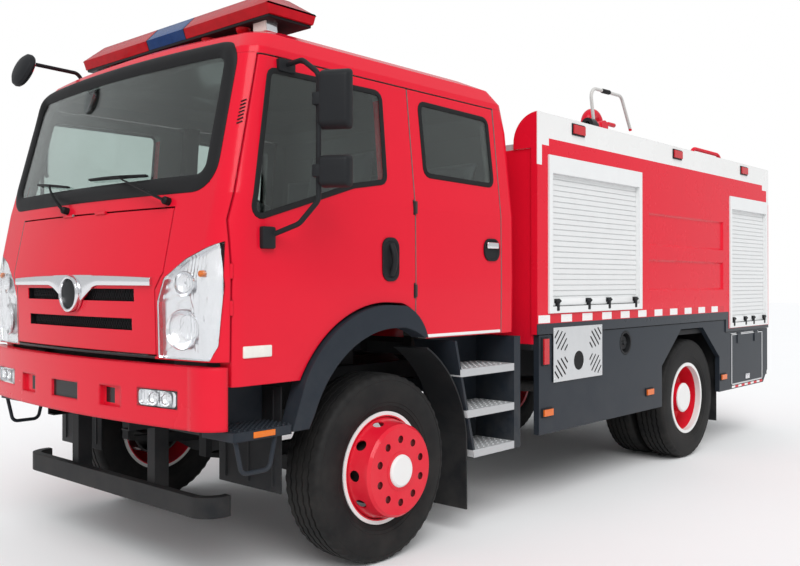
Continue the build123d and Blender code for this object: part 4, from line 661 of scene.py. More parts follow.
wiper_black = painted("wiper_black", (0.010, 0.010, 0.011), 0.5, mottle=0.1, dust=0, grain=0.1, scale=12,
                      edge=0.001)
fit("wipers", gather(wiper((0.735, 1.905), (0.300, 2.050), ((0.000, 2.062), (0.530, 2.045))),
                     wiper((-0.200, 1.905), (-0.450, 2.060), ((-0.660, 2.085), (-0.235, 2.040)))),
    wiper_black, "chassis")


# Pillar vents: narrow black louvres let into both windscreen pillars, level with the upper
# half of the doors.
def on_pillar(y, z, off):
    """A point off the left pillar."""
    hit, normal = touch(pillar_skin, *from_left(y, z))
    return hit + normal * off


def both_sides(name, shapes, look):
    """A piece of the chassis with the same shapes on both sides of the truck."""
    left = gather(*shapes)
    return fit(name, gather(opposite(left), left), look, "chassis")


pillar_skin = surface("cab_front", "front_door_left")
LOUVRES, LOUVRE_LOW, LOUVRE_PITCH = 7, 2.270, 0.018
louvre = []
for k in range(LOUVRES):
    z = LOUVRE_LOW + LOUVRE_PITCH * k
    y = along(-0.909 + 0.036 * (z - 2.260) / 0.133)
    louvre.append(bar([on_pillar(y + way * 0.010, z + way * 0.006, 0.0015) for way in (-1, 1)],
                      0.0055, 8, 0.6))
both_sides("pillar_vents", louvre, seal_rubber)


# Door handles: black moulded cups on the skin, the front ones with an upright grip and the rear
# ones with a bright lever over the cup.
def soft_block(low, high, edge, steps=3, spot=None):
    """A block with rounded edges between two corners, then moved by a matrix."""
    shape = bmesh.new()
    bmesh.ops.create_cube(shape, size=1)
    for v in shape.verts:
        v.co = Vector([low[i] + (v.co[i] + 0.5) * (high[i] - low[i]) for i in range(3)])
    bmesh.ops.bevel(shape, geom=list(shape.edges), offset=edge, segments=steps, profile=0.5, affect="EDGES")
    if spot:
        bmesh.ops.transform(shape, matrix=spot, verts=shape.verts)
    return shape


bright = painted("bright_trim", (0.78, 0.78, 0.80), 0.16, mottle=0.04, dust=0, grain=0.03, scale=8,
                 metallic=1.0, edge=0.002)
trim_plastic = painted("trim_plastic", (0.016, 0.017, 0.019), 0.48, mottle=0.12, dust=0.05, dust_top=1.6,
                       grain=0.3, scale=14, edge=0.003)
DOOR_X = 1.172
CUP_RINGS = ((1.0, 1.150), (1.0, 1.1775), (0.94, 1.1800), (0.86, 1.1780), (0.80, 1.1725), (0.5, 1.1715))


def cup(y, z, wide, tall):
    """A shallow dished plate on the door's skin, with a raised rim."""
    rim = [(y + a * wide / 2, z + b * tall / 2) for a, b in ((-1, -1), (-1, 1), (1, 1), (1, -1))]
    loop = rounded_loop(rim, min(wide, tall) * 0.42, 0.006)
    return skin([[(x, y + (p.x - y) * grow, z + (p.y - z) * grow) for p in loop] for grow, x in CUP_RINGS])


def bow(y, z0, z1, depth, radius):
    """An upright grip that bows out from the cup."""
    return bar([(DOOR_X + depth * math.sin(math.pi * k / 10), y, z0 + (z1 - z0) * k / 10) for k in range(11)],
               radius, 10, 0.7)


front_pull = gather(cup(along(0.058), 1.638, 0.132, 0.240), bow(along(0.066), 1.550, 1.722, 0.028, 0.019))
rear_cup = cup(along(0.992), 1.714, 0.160, 0.140)
rear_lever = soft_block((1.170, along(0.934), 1.720), (1.190, along(1.050), 1.762), 0.009, 4)
two_bodies("front_door_handle", front_pull, trim_plastic, "door_f")
two_bodies("rear_door_cup", rear_cup, trim_plastic, "door_r")
two_bodies("rear_door_lever", rear_lever, bright, "door_r")


# Grille: black woven mesh behind two long slots of the front lid, under a bright wing-shaped
# trim with a plain round badge blank.
lid_skin = surface("front_panel", "grille")
dress(trim_plastic, "grille")
STRAND_LEAN, STRAND_PITCH = 0.030, 0.022
strands = []
for half, middle, opening in ((0.560, 1.450, 0.062), (0.538, 1.305, 0.058)):
    low, high = middle - opening / 2 + 0.003, middle + opening / 2 - 0.003
    for first, last in ((low, high), (high, low)):
        x = -half + 0.004
        while x < half - 0.034:
            strands.append(bar([on_front(lid_skin, x, first, 0.004),
                                on_front(lid_skin, x + STRAND_LEAN, last, 0.004)], 0.0032, 5))
            x += STRAND_PITCH
fit("grille_mesh", gather(*strands), trim_plastic, "front_lid")
WING_SECTION = [(0, -0.004), (0, 0.010), (0.06, 0.0155), (0.2, 0.018), (0.8, 0.018), (0.94, 0.0155),
                (1, 0.010), (1, -0.004)]
WING_HALF, WING_LINE, WING_STEPS = 0.708, 1.495, 96


def wing_edges(x):
    """Bottom and top of the bright wing at a distance from the middle."""
    far = abs(x)
    top = 1.552 - 0.014 * (far / 0.7) ** 2
    dip = 0.5 + 0.5 * math.cos(math.pi * min(far, 0.27) / 0.27)
    return 1.496 - 0.105 * dip, top


wing_rings = []
for k in range(WING_STEPS + 1):
    x = -WING_HALF + 2 * WING_HALF * k / WING_STEPS
    low, high = wing_edges(x)
    wing_rings.append([on_front(lid_skin, x, WING_LINE, lift)
                       + Vector((0, 0, low + (high - low) * share - WING_LINE))
                       for share, lift in WING_SECTION])
badge_at = on_front(lid_skin, 0, 1.500, 0.012)
badge_at.z = 1.452
badge_ring = lathe([(-0.012, 0.099), (0.012, 0.099), (0.022, 0.095), (0.026, 0.088), (0.022, 0.081),
                    (0.010, 0.077), (-0.012, 0.077)], badge_at, (0, -1, 0), 48)
fit("badge_wing", gather(skin(wing_rings), badge_ring), bright, "front_lid")
badge_blank = lathe([(-0.012, 0.076), (0.010, 0.076), (0.013, 0.060), (0.015, 0.03), (0.0155, 0.004)],
                    badge_at, (0, -1, 0), 40)
fit("badge_blank", badge_blank, trim_plastic, "front_lid")


# Radiator: a finned core with a black top tank and two hoses, seen in the gap over the
# bumper.
def bend_line(points, radius, steps=6):
    """A line of points with its corners bent to a radius."""
    points = [Vector(p) for p in points]
    line = [points[0]]
    for before, at, after in zip(points, points[1:], points[2:]):
        a, b = (before - at).normalized(), (after - at).normalized()
        half = a.angle(b) / 2
        reach = min(radius / math.tan(half), 0.45 * min((before - at).length, (after - at).length))
        for k in range(steps + 1):
            t = k / steps
            line.append((at + a * reach) * (1 - t) ** 2 + at * 2 * t * (1 - t) + (at + b * reach) * t * t)
    return line + [points[-1]]


core_y = along(-1.020)
core = [soft_block((-0.470, core_y - 0.020, 0.880), (0.470, core_y + 0.020, 1.085), 0.004, 1),
        soft_block((-0.520, core_y - 0.035, 1.080), (0.520, core_y + 0.035, 1.140), 0.018, 4)]
core += [soft_block((x / 100 - 0.0012, core_y - 0.026, 0.890), (x / 100 + 0.0012, core_y - 0.018, 1.080),
                    0.0004, 1) for x in range(-46, 47, 2)]
core += [bar(bend_line([(side * 0.480, core_y - 0.040, 1.110), (side * 0.580, core_y - 0.050, 1.115),
                        (side * 0.640, core_y + 0.060, 1.060)], 0.06), 0.024, 14) for side in (1, -1)]
radiator_black = painted("radiator_black", (0.012, 0.012, 0.013), 0.5, mottle=0.2, dust=0.15, dust_top=1.4,
                         grain=0.2, scale=12, edge=0.002)
fit("radiator", gather(*core), radiator_black, "chassis")


# Headlamps and fog lamps: clear moulded covers over silvered reflectors, flush with the cab's
# corners and the bumper.
cover = two_tone("clear_cover", {"Transmission Weight": 1, "IOR": 1.12, "Coat Weight": 0.6},
                 {"Scale": 5, "Detail": 2}, [(0.94, 0.95, 0.96), (0.98, 0.98, 0.98)], (0.01, 0.05))
dress(cover, "front_lamps")
silver = painted("lamp_silver", (0.82, 0.83, 0.85), 0.2, mottle=0.05, dust=0, grain=0.05, scale=20,
                 metallic=0.9, edge=0.001)
amber = painted("amber_lens", (0.75, 0.17, 0.01), 0.2, mottle=0.12, dust=0.05, dust_top=1.5, grain=0.4,
                scale=30, coat=0.5, edge=0.002)
lamp_skin = surface("front_lamps")
LAMP_EDGE = [(0.738, 1.150), (0.738, 1.420), (0.790, 1.530), (0.930, 1.625), (1.128, 1.702), (1.142, 1.500),
             (1.120, 1.220), (1.085, 1.150)]
FOG_EDGE = [(0.655, 0.926), (0.655, 1.004), (0.930, 1.004), (0.930, 0.926)]
FLUTE_PITCH, FLUTE_DEEP = 0.022, 0.0025


def lamp_back(corners, deep, share):
    """A fluted reflector sheet with a wall inside a lamp, kept within the lamp as seen from the front."""
    middle = sum((Vector(c) for c in corners), Vector((0, 0))) / len(corners)
    loop = rounded_loop([middle + (Vector(c) - middle) * share for c in corners], 0.02, 0.012)
    rings = []
    walls = [(1.0, 0.003), (0.985, deep * 0.5), (0.975, deep * 0.9)]
    for grow, down in walls + [(0.96 - 0.08 * k, deep) for k in range(12)]:
        ring = []
        for p in loop:
            q = middle + (p - middle) * grow
            while lamp_skin.ray_cast(*from_front(q.x, q.y), FAR)[0] is None:
                q = q.lerp(middle, 0.005)
            flute = FLUTE_DEEP * math.sin(q.x * 2 * math.pi / FLUTE_PITCH) if down == deep else 0
            ring.append(on_front(lamp_skin, q.x, q.y, -down + flute))
        rings.append(ring)
    return skin(rings, open_start=True)


def bowl(x, z, radius, deep):
    """A round reflector let into a lamp, with a lip and a closed back."""
    spot = on_front(lamp_skin, x, z, -0.012)
    out = Vector((0.35, -1, 0.05)).normalized()
    return lathe([(-deep, 0.008), (-deep * 0.92, radius * 0.35), (-deep * 0.7, radius * 0.62),
                  (-deep * 0.35, radius * 0.88), (0, radius), (0.004, radius * 1.05), (0, radius * 1.1),
                  (-deep * 0.4, radius * 1.02), (-deep * 1.08, radius * 0.4), (-deep * 1.1, 0.008)],
                 spot, out, 36)


both_sides("lamp_reflectors", [
    lamp_back(LAMP_EDGE, 0.036, 1.03), bowl(0.905, 1.290, 0.088, 0.034), bowl(0.925, 1.505, 0.056, 0.026),
    lamp_back(FOG_EDGE, 0.026, 0.96), bowl(0.760, 0.965, 0.032, 0.016), bowl(0.850, 0.965, 0.032, 0.016)],
    silver)
bulb = lathe([(0, 0.016), (0.022, 0.015), (0.030, 0.006)], on_front(lamp_skin, 1.030, 1.560, -0.034),
             (0.4, -1, 0), 16)
both_sides("lamp_amber_bulbs", [bulb], amber)


# Cab inside: a grey moulded dashboard, rubber floor mats, and trimmed posts between the doors,
# all screwed to the shell.
dash_plastic = painted("dash_plastic", (0.055, 0.056, 0.058), 0.6, mottle=0.1, dust=0, grain=0.35, scale=12,
                       edge=0.012)
cab_trim = painted("cab_trim", (0.045, 0.044, 0.043), 0.7, mottle=0.15, dust=0, grain=0.4, scale=10,
                   edge=0.006)
dress(dash_plastic, "dashboard")
dress(cab_trim, "cab_floor")


# Seats: two front seats and a crew bench, foam cushions in woven cloth with sewn channels on
# boxed metal plinths.
cloth, tree, shader = new_look("seat_cloth", {"Sheen Weight": 0.35})
parts = {"shader": shader, "place": put(tree, "TexCoord"),
         "warp": put(tree, "TexWave", {"Scale": 160, "Distortion": 0.4}, bands_direction="X"),
         "weft": put(tree, "TexWave", {"Scale": 160, "Distortion": 0.4}, bands_direction="Y"),
         "weave": put(tree, "Math", operation="MULTIPLY"),
         "patch": put(tree, "TexNoise", {"Scale": 9, "Detail": 4}), "tone": put(tree, "ValToRGB"),
         "sum": put(tree, "Math", operation="ADD"),
         "rough": put(tree, "MapRange", {"To Min": 0.8, "To Max": 0.98}),
         "bump": put(tree, "Bump", {"Strength": 0.4, "Distance": 0.001})}
for stop, tone in zip(parts["tone"].color_ramp.elements, [(0.10, 0.10, 0.11), (0.23, 0.23, 0.24)]):
    stop.color = (*tone, 1)
join(tree, parts, """
    place.Object > warp.Vector, place.Object > weft.Vector, place.Object > patch.Vector, warp.Fac > weave.0,
    weft.Fac > weave.1, weave.0 > sum.0, patch.Fac > sum.1, sum.0 > tone.Fac, tone.Color > shader.Base Color,
    patch.Fac > rough.Value, rough.0 > shader.Roughness, weave.0 > bump.Height, bump.0 > shader.Normal""")


def cushion(wide, long, thick, channels, spot):
    """A crowned pad whose sides pull in between its corners, with sewn channels across it."""
    shape = bmesh.new()
    across, down = max(18, round(wide / 0.028)), 18
    layers = []
    for face in (1, -1):
        rows = []
        for i in range(across + 1):
            row = []
            for j in range(down + 1):
                u, v = 2 * i / across - 1, 2 * j / down - 1
                edge_u, edge_v = 1 - abs(u) ** 8, 1 - abs(v) ** 6
                pull_u, pull_v = 1 - 0.035 * (1 - v * v), 1 - 0.03 * (1 - u * u)
                crown_here = (edge_u * edge_v) ** 0.45
                seam = sum(math.exp(-((v - c) / 0.05) ** 2) for c in channels)
                lift = face * thick / 2 * (0.16 + 0.84 * crown_here) * (1 - 0.22 * seam * (face > 0))
                place = Vector((u * wide / 2 * pull_u, v * long / 2 * pull_v, lift))
                row.append(shape.verts.new(spot @ place))
            rows.append(row)
        for a, b in zip(rows, rows[1:]):
            for j in range(down):
                shape.faces.new((a[j], a[j + 1], b[j + 1], b[j]))
        layers.append([row[0] for row in rows] + rows[-1][1:] + [row[-1] for row in rows[-2::-1]]
                      + rows[0][-2:0:-1])
    top, bottom = layers
    for k in range(len(top)):
        n = (k + 1) % len(top)
        shape.faces.new((top[k], top[n], bottom[n], bottom[k]))
    bmesh.ops.recalc_face_normals(shape, faces=shape.faces)
    return shape


FLOOR_TOP, SOFT_CREASE = 1.320, 80
plinths = []
for name, x, wide, y in (("driver", 0.540, 0.540, along(-0.200)), ("mate", -0.540, 0.540, along(-0.200)),
                         ("bench", 0.0, 1.930, along(0.640))):
    base_spot, back_spot = (
        Matrix.Translation((x, y + back, FLOOR_TOP + up)) @ Matrix.Rotation(math.radians(tilt), 4, "X")
        for back, up, tilt in ((0.205, 0.318, -3), (0.452, 0.660, 80)))
    pad = fit(f"{name}_seat_pad", cushion(wide, 0.42, 0.15, (-0.45, 0.1), base_spot), cloth, "chassis",
              SOFT_CREASE)
    if name == "driver":
        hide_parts("seats")
    back = fit(f"{name}_seat_back", cushion(wide * 0.97, 0.64, 0.11, (-0.5, 0, 0.5), back_spot), cloth,
               "chassis", SOFT_CREASE)
    plinths.append(soft_block((x - wide / 2 + 0.03, y + 0.06, FLOOR_TOP),
                              (x + wide / 2 - 0.03, y + 0.48, FLOOR_TOP + 0.255), 0.012))
fit("seat_plinths", gather(*plinths), dash_plastic, "chassis")


# Arch mouldings and steps: dark grey moulded plastic round the front wheels with splash guards
# ahead of them, a studded front step and an open box of aluminium treads for the crew.
GREY_BLUE = (0.020, 0.026, 0.035)
SHEET = (0.62, 0.63, 0.64)
TREAD_TOPS = (0.992, 0.742, 0.496)
UP = (0, 0, 1)
moulding = painted("arch_plastic", GREY_BLUE, 0.42, mottle=0.1, dust=0.12, dust_top=1.4, grain=0.25, scale=9,
                   edge=0.012)
crew_paint = painted("crew_step_paint", GREY_BLUE, 0.4, [
    (SHEET, (0.897, along(0.64), top - 0.043), (1.21, along(1.194), top + 0.001)) for top in TREAD_TOPS],
    mottle=0.08, dust=0.25, dust_top=1.2, grain=0.12, scale=8, edge=0.003)
dress(moulding, "arch_mouldings", "front_steps")
dress(crew_paint, "crew_steps")
aluminium = painted("aluminium_sheet", (0.70, 0.71, 0.72), 0.34, mottle=0.1, dust=0.12, dust_top=1.4,
                    grain=0.15, scale=16, metallic=0.85, edge=0.002)
tread_sheet = painted("tread_sheet", (0.50, 0.51, 0.52), 0.45, mottle=0.1, dust=0.2, dust_top=1.2, grain=0.2,
                      scale=14, metallic=0.25, edge=0.002)
white_enamel = painted("white_enamel", WHITE, 0.3, mottle=0.03, dust=0.06, dust_top=1.4, grain=0.05, scale=5,
                       coat=0.2, edge=0.004)
clear_marker = painted("side_marker", (0.80, 0.78, 0.72), 0.25, mottle=0.12, dust=0, grain=0.5, scale=26,
                       coat=0.4, edge=0.002)
treads = []
for front, top in zip((0.652, 0.708, 0.772), TREAD_TOPS):
    y0, y1 = along(front) - 0.004, along(1.192)
    treads += [soft_block((0.900, y0, top - 0.001), (1.203, y1, top + 0.003), 0.0012, 1),
               soft_block((1.200, y0, top - 0.044), (1.2035, y1, top + 0.003), 0.001, 1)]
    for i in range(6):
        for j in range(9):
            y = along(front) + 0.035 + j * 0.050
            if y < along(1.18):
                treads.append(lathe([(0, 0.010), (0.004, 0.0085), (0.006, 0.006)],
                                    (0.930 + 0.048 * i, y, top + 0.002), UP, 8))
both_sides("crew_treads", treads, tread_sheet)
studs = [lathe([(0, 0.008), (0.009, 0.006), (0.010, 0.003)],
               (0.975 + 0.030 * i, along(-0.985) + 0.033 * j, 0.825), UP, 8)
         for i in range(8) for j in range(10)]
both_sides("front_step_studs", studs, moulding)
reflector = soft_block((1.190, along(-0.905), 0.789), (1.1965, along(-0.775), 0.818), 0.003)
both_sides("step_reflectors", [reflector], amber)
guard = [soft_block((0.600, along(-0.662), 0.470), (1.100, along(-0.652), 1.000), 0.004, 2)]
guard += [soft_block((x - 0.008, along(-0.668), 0.500), (x + 0.008, along(-0.656), 0.980), 0.004, 2)
          for x in (0.66, 0.85, 1.04)]
both_sides("splash_guards", guard, trim_plastic)
two_bodies("door_sill", soft_block((1.162, along(0.350), 1.196), (1.177, along(1.078), 1.214), 0.003),
           white_enamel, "door_r")
two_bodies("side_marker", soft_block((1.158, along(-0.946), 1.160), (1.174, along(-0.776), 1.216), 0.006),
           clear_marker, "door_f")


# Equipment body: red sheet-metal sides with a grey foot and a white roof band stepped down at
# the corners, over a water tank, with a plate deck behind the rounded parapets.
BODY_X, SKIRT_X = 1.230, 1.222
BODY_Y = (along(1.420), along(5.650))
BODY_FOOT, REAR_FOOT, BAND_LOW = 1.236, 1.080, 2.475
body_paint = painted("body_paint", RED, 0.26, [
    (GREY_BLUE, (1.0, BODY_Y[0] - 1, 0), (2, along(4.625), BODY_FOOT)),
    (GREY_BLUE, (1.0, along(4.6), 0), (2, BODY_Y[1] + 1, REAR_FOOT)),
    (WHITE, (1.0, BODY_Y[0] - 1, BAND_LOW), (2, BODY_Y[1] + 1, 3)),
    (WHITE, (1.0, BODY_Y[0] - 1, 2.425), (2, BODY_Y[0] + 0.140, 3)),
    (WHITE, (1.0, BODY_Y[0] - 1, 2.290), (2, BODY_Y[0] + 0.055, 3)),
    (WHITE, (1.0, BODY_Y[1] - 0.17, 2.425), (2, BODY_Y[1] + 1, 3)),
    (WHITE, (1.0, BODY_Y[1] - 0.055, 2.290), (2, BODY_Y[1] + 1, 3)),
    (RED, (0, BODY_Y[0] - 1, 0), (1.2255, BODY_Y[0] + 0.001, 3)),
    ], mottle=0.04, dust=0.05, dust_top=1.5, scale=3, grain=0.04, coat=0.14, edge=0.006)
dress(body_paint, "body_sides")
dress(red_enamel, "body_end_walls", "monitor_riser")
dress(chassis_paint, "water_tank")
deck_paint = painted("deck_plate", (0.50, 0.51, 0.52), 0.42, [
    (RED, (0.86, along(4.5), 2.45), (0.95, along(5.3), 3)),
    (WHITE, (0, along(2.0), 2.445), (0.3, along(3.6), 2.6))],
    mottle=0.12, dust=0.3, dust_top=2.6, grain=0.5, scale=10, edge=0.004)
dress(deck_paint, "body_deck")


# Retroreflective tape: squares of red and white sheeting along the body's lower edge, over the
# locker flaps' foot and across the back.
SQUARE, WIDE_SQUARE = 0.078, 0.140
SUNK, PROUD = 0.0005, 0.0012


def tape(colour, name):
    """Sheeting with a fine pattern of cells."""
    look = painted(name, colour, 0.35, mottle=0.05, dust=0.08, dust_top=1.4, grain=0.0, scale=6, edge=0.0005,
                   coat=0.2)
    tree = look.node_tree
    join(tree, {
        "film": tree.nodes["film"], "at": put(tree, "TexCoord"),
        "cells": put(tree, "TexVoronoi", {"Scale": 90}, feature="DISTANCE_TO_EDGE"),
        "edge": put(tree, "MapRange", {"From Max": 0.08, "To Min": 0.86, "To Max": 1.0}),
        "tone": put(tree, "VectorMath", {0: colour}, operation="SCALE")},
        "at.Object > cells.Vector, cells.Distance > edge.Value, edge.0 > tone.Scale, tone.0 > film.Colour")
    return look


def squares(axis, start, end, size, low, high):
    """White and red squares in turn along an axis, between the other bounds of a thin block."""
    rows, count = ([], []), 0
    while start < end:
        low[axis], high[axis] = start, start + size
        rows[count % 2].append(soft_block(low, high, 0.0004, 1))
        start, count = start + size, count + 1
    return rows


rows = zip(squares(1, BODY_Y[0] + 0.012, along(4.47), WIDE_SQUARE,
                   [BODY_X - SUNK, 0, 1.240], [BODY_X + PROUD, 0, 1.292]),
           squares(1, along(4.72), along(5.44), SQUARE,
                   [SKIRT_X - SUNK, 0, 0.518], [SKIRT_X + PROUD, 0, 0.538]),
           squares(0, -1.150, 1.10, SQUARE, [0, BODY_Y[1] - SUNK, 1.085], [0, BODY_Y[1] + PROUD, 1.145]),
           (("white", (0.84, 0.83, 0.82)), ("red", (0.66, 0.007, 0.024))))
for on_side, on_flap, on_back, (word, colour) in rows:
    left = gather(*on_side, *on_flap)
    fit(f"tape_{word}", gather(opposite(left), left, *on_back), tape(colour, f"{word}_tape"), "chassis")


# Roller shutters: interlocking slats of white-coated aluminium in extruded frames, with a deep
# bottom rail held by black rubber-tipped latches.
shutter_white = painted("shutter_slats", (0.74, 0.75, 0.75), 0.36, mottle=0.05, dust=0.05, dust_top=1.8,
                        grain=0.05, scale=7, edge=0.003)
frame_white = painted("shutter_frame", (0.78, 0.79, 0.79), 0.32, mottle=0.04, dust=0.06, dust_top=1.6,
                      grain=0.05, scale=8, edge=0.004)
dress(shutter_white, "shutters")
dress(frame_white, "shutter_frames")
latches, rails = [], []
for y0, y1, z0 in ((along(1.548), along(2.884), 1.302), (along(4.640), along(5.606), 1.084)):
    foot = z0 + 0.046
    inner = (y0 + 0.060, y1 - 0.060)
    rails.append(soft_block((1.222, inner[0], foot + 0.006), (1.2285, inner[1], foot + 0.052), 0.002, 2))
    for share in (0.04, 0.38, 0.62, 0.96):
        y = inner[0] + (inner[1] - inner[0]) * share
        latches += [soft_block((1.224, y - 0.030, foot + 0.020), (1.243, y + 0.030, foot + 0.052), 0.004, 2),
                    soft_block((1.228, y - 0.016, foot - 0.030), (1.247, y + 0.016, foot + 0.030), 0.005, 2),
                    lathe([(-0.030, 0.009), (0.030, 0.009), (0.034, 0.005)], (1.241, y, foot + 0.036),
                          (0, 1, 0), 12)]
    latches.append(soft_block((1.226, inner[0] - 0.03, foot - 0.012), (1.236, inner[1] + 0.03, foot + 0.002),
                              0.003, 2))
both_sides("shutter_latches", latches, trim_plastic)
both_sides("shutter_rails", rails, frame_white)


# Side skirts: folded steel panels in dark grey with an aluminium plate, slotted and bolted over a
# black sheet that is painted shade seen through the slots, a pump outlet, hinged lower lockers and
# marker lamps.
skirt_paint = painted("skirt_paint", GREY_BLUE, 0.36, mottle=0.12, dust=0.09, dust_top=1.3, grain=0.08,
                      scale=4, coat=0.06, edge=0.004)
dress(skirt_paint, "side_skirts", "locker_flap_left", "locker_flap_right")
PLATE_Y, PLATE_Z = (along(1.612), along(2.268)), (0.836, 1.205)
PLATE_BACK, PLATE_X, BOLT_IN = 1.2305, 1.2335, 0.022
HOLE_Z, HOLE_R, HOLE_STEPS = 0.965, 0.067, 36
SLOT_LONG, SLOT_WIDE = (0.060, 0.110, 0.150, 0.120, 0.075), 0.014


def slot_rim(y, z, lean, long, wide):
    """Outline of a round-ended slot in a plate, leaning to the back or to the front."""
    rim = []
    for way in (1, -1):
        middle = Vector((y, z)) + Vector((lean, 1)).normalized() * (way * (long - wide) / 2)
        start = math.atan2(way, way * lean) - math.pi / 2
        for k in range(7):
            angle = start + math.pi * k / 6
            rim.append(middle + Vector((math.cos(angle), math.sin(angle))) * (wide / 2))
    return rim


def cut_sheet(loops, inner, outer):
    """A flat sheet on the left side: its outline, then the holes cut through it."""
    shape = bmesh.new()
    for loop in loops:
        ring = [shape.verts.new((inner, y, z)) for y, z in loop]
        for a, b in zip(ring, ring[1:] + ring[:1]):
            shape.edges.new((a, b))
    bmesh.ops.triangle_fill(shape, use_beauty=True, edges=shape.edges[:], normal=(1, 0, 0))
    front, rims = shape.faces[:], [e.verts[:] for e in shape.edges if e.is_boundary]
    twin = {v: shape.verts.new((outer, v.co.y, v.co.z)) for v in shape.verts[:]}
    for face in front:
        shape.faces.new([twin[v] for v in reversed(face.verts)])
    for a, b in rims:
        shape.faces.new((a, b, twin[b], twin[a]))
    bmesh.ops.recalc_face_normals(shape, faces=shape.faces)
    return shape


plate_mid = (PLATE_Y[0] + PLATE_Y[1]) / 2
turns = [2 * math.pi * k / HOLE_STEPS for k in range(HOLE_STEPS)]
loops = [[(PLATE_Y[a], PLATE_Z[b]) for a, b in ((0, 0), (1, 0), (1, 1), (0, 1))],
         [(plate_mid + HOLE_R * math.cos(turn), HOLE_Z + HOLE_R * math.sin(turn)) for turn in turns]]
for side in (1, -1):
    for k, long in enumerate(SLOT_LONG):
        y, step = plate_mid + side * (0.168 + 0.030 * k), 0.024 * (k - 2)
        loops += [slot_rim(y, 1.112 + step, -side, long, SLOT_WIDE),
                  slot_rim(y, 0.932 - step, side, long, SLOT_WIDE)]
plate = [cut_sheet(loops, PLATE_BACK, PLATE_X)]
plate += [lathe([(-0.002, 0.009), (0.003, 0.008), (0.0042, 0.004)], (PLATE_X, y, z), (1, 0, 0), 14)
          for y in (PLATE_Y[0] + BOLT_IN, PLATE_Y[1] - BOLT_IN)
          for z in (PLATE_Z[0] + BOLT_IN, PLATE_Z[1] - BOLT_IN)]
vent = both_sides("vent_sheets", plate, aluminium)
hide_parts("vent_plates")
# A black sheet just behind the plate: painted shade seen through the slots.
slot_shade_sheet = soft_block((SKIRT_X - SUNK, PLATE_Y[0] + 0.004, PLATE_Z[0] + 0.004),
                     (PLATE_BACK + 0.0003, PLATE_Y[1] - 0.004, PLATE_Z[1] - 0.004), 0.001, 1)
both_sides("vent_slot_shade_sheet", [slot_shade_sheet], seal_rubber)
SIGNAL_RED = (0.55, 0.012, 0.02)
ORANGE = (0.72, 0.14, 0.01)
marker_paint = painted("marker_lens", SIGNAL_RED, 0.22, [
    (ORANGE, (1.2, along(1.4), 0.60), (1.3, along(4.7), 0.70))],
    mottle=0.14, dust=0.1, dust_top=1.0, grain=0.45, scale=30, coat=0.5, edge=0.004)
dress(marker_paint, "marker_lamps")
outlet_y, outlet_z = along(2.645), 1.050
outlet = (1.216, outlet_y, outlet_z)
HANDLE = ((1.180, -0.05, 0), (1.200, -0.05, 0), (1.204, 0, 0.004), (1.200, 0.05, 0), (1.180, 0.05, 0))
both_sides("pump_outlets", [
    lathe([(0.008, 0.090), (0.008, 0.074), (-0.10, 0.072), (-0.10, 0.088)], outlet, (1, 0, 0), 36, True),
    lathe([(-0.11, 0.055), (-0.02, 0.055), (-0.012, 0.050), (-0.012, 0.02), (0.0, 0.016)], outlet,
          (1, 0, 0), 28),
    bar([(x, outlet_y + y, outlet_z + z) for x, y, z in HANDLE], 0.008, 8)], chassis_paint)
y0, y1, z0, z1 = along(4.705), along(5.495), 0.545, 1.022
middle = (y0 + y1) / 2
edging = [soft_block((SKIRT_X - 0.0015, *low), (SKIRT_X + 0.004, *high), 0.0015, 1) for low, high in (
    ((y0, z0), (y0 + 0.014, z1)), ((y1 - 0.014, z0), (y1, z1)), ((y0, z0), (y1, z0 + 0.014)),
    ((y0, z1 - 0.010), (y1, z1)))]
catch = [soft_block((1.221, middle - 0.05, z0 + 0.035), (1.229, middle + 0.05, z0 + 0.085), 0.003, 2),
         soft_block((1.226, middle - 0.02, z0 + 0.045), (1.234, middle + 0.02, z0 + 0.075), 0.003, 2)]
two_bodies("flap_edging", gather(*edging), aluminium, "flap_")
two_bodies("flap_catch", gather(*catch), bright, "flap_")
BEZEL = 0.010
bases = [soft_block((x - 0.001, along(y) - long / 2 - BEZEL, z - high / 2 - BEZEL),
                    (x + 0.008, along(y) + long / 2 + BEZEL, z + high / 2 + BEZEL), 0.003, 2)
         for x, places, z, long, high in ((BODY_X, (1.936, 3.529, 4.993), 2.575, 0.150, 0.062),
                                          (SKIRT_X, (1.547, 3.032, 4.510), 0.642, 0.110, 0.044),
                                          (SKIRT_X, (1.520,), 1.050, 0.060, 0.170)) for y in places]
both_sides("marker_bases", bases, trim_plastic)


# Rear step and lamps: a dark steel bumper step with an aluminium tread, lamps in moulded
# bezels and grab rails beside the rear shutter.
dress(chassis_paint, "rear_step")
rear_y = BODY_Y[1]
STEP_TOP, RAIL_X, LAMP_RIM = 0.636, 0.760, 0.012
RAIL_LINE = ((-0.002, 1.330), (0.05, 1.345), (0.072, 1.375), (0.075, 1.75), (0.072, 2.125), (0.05, 2.155),
             (-0.002, 2.170))
tread = [soft_block((-1.140, along(5.672), STEP_TOP - 0.001), (1.140, along(5.822), STEP_TOP + 0.003),
                    0.001, 1)]
tread += [lathe([(0, 0.010), (0.004, 0.008), (0.005, 0.005)],
                (-1.10 + i * 0.0512, along(5.698) + 0.048 * j, STEP_TOP + 0.002), UP, 6)
          for i in range(44) for j in range(3)]
fit("rear_tread", gather(*tread), aluminium, "chassis")
rails = []
for x in (RAIL_X, -RAIL_X):
    rails.append(bar([(x, rear_y + out, z) for out, z in RAIL_LINE], 0.016, 12))
    rails += [lathe([(-0.002, 0.034), (0.005, 0.034), (0.007, 0.030)], (x, rear_y, z), (0, 1, 0), 20)
              for z in (1.330, 2.170)]
fit("rear_grab_rails", gather(*rails), bright, "chassis")
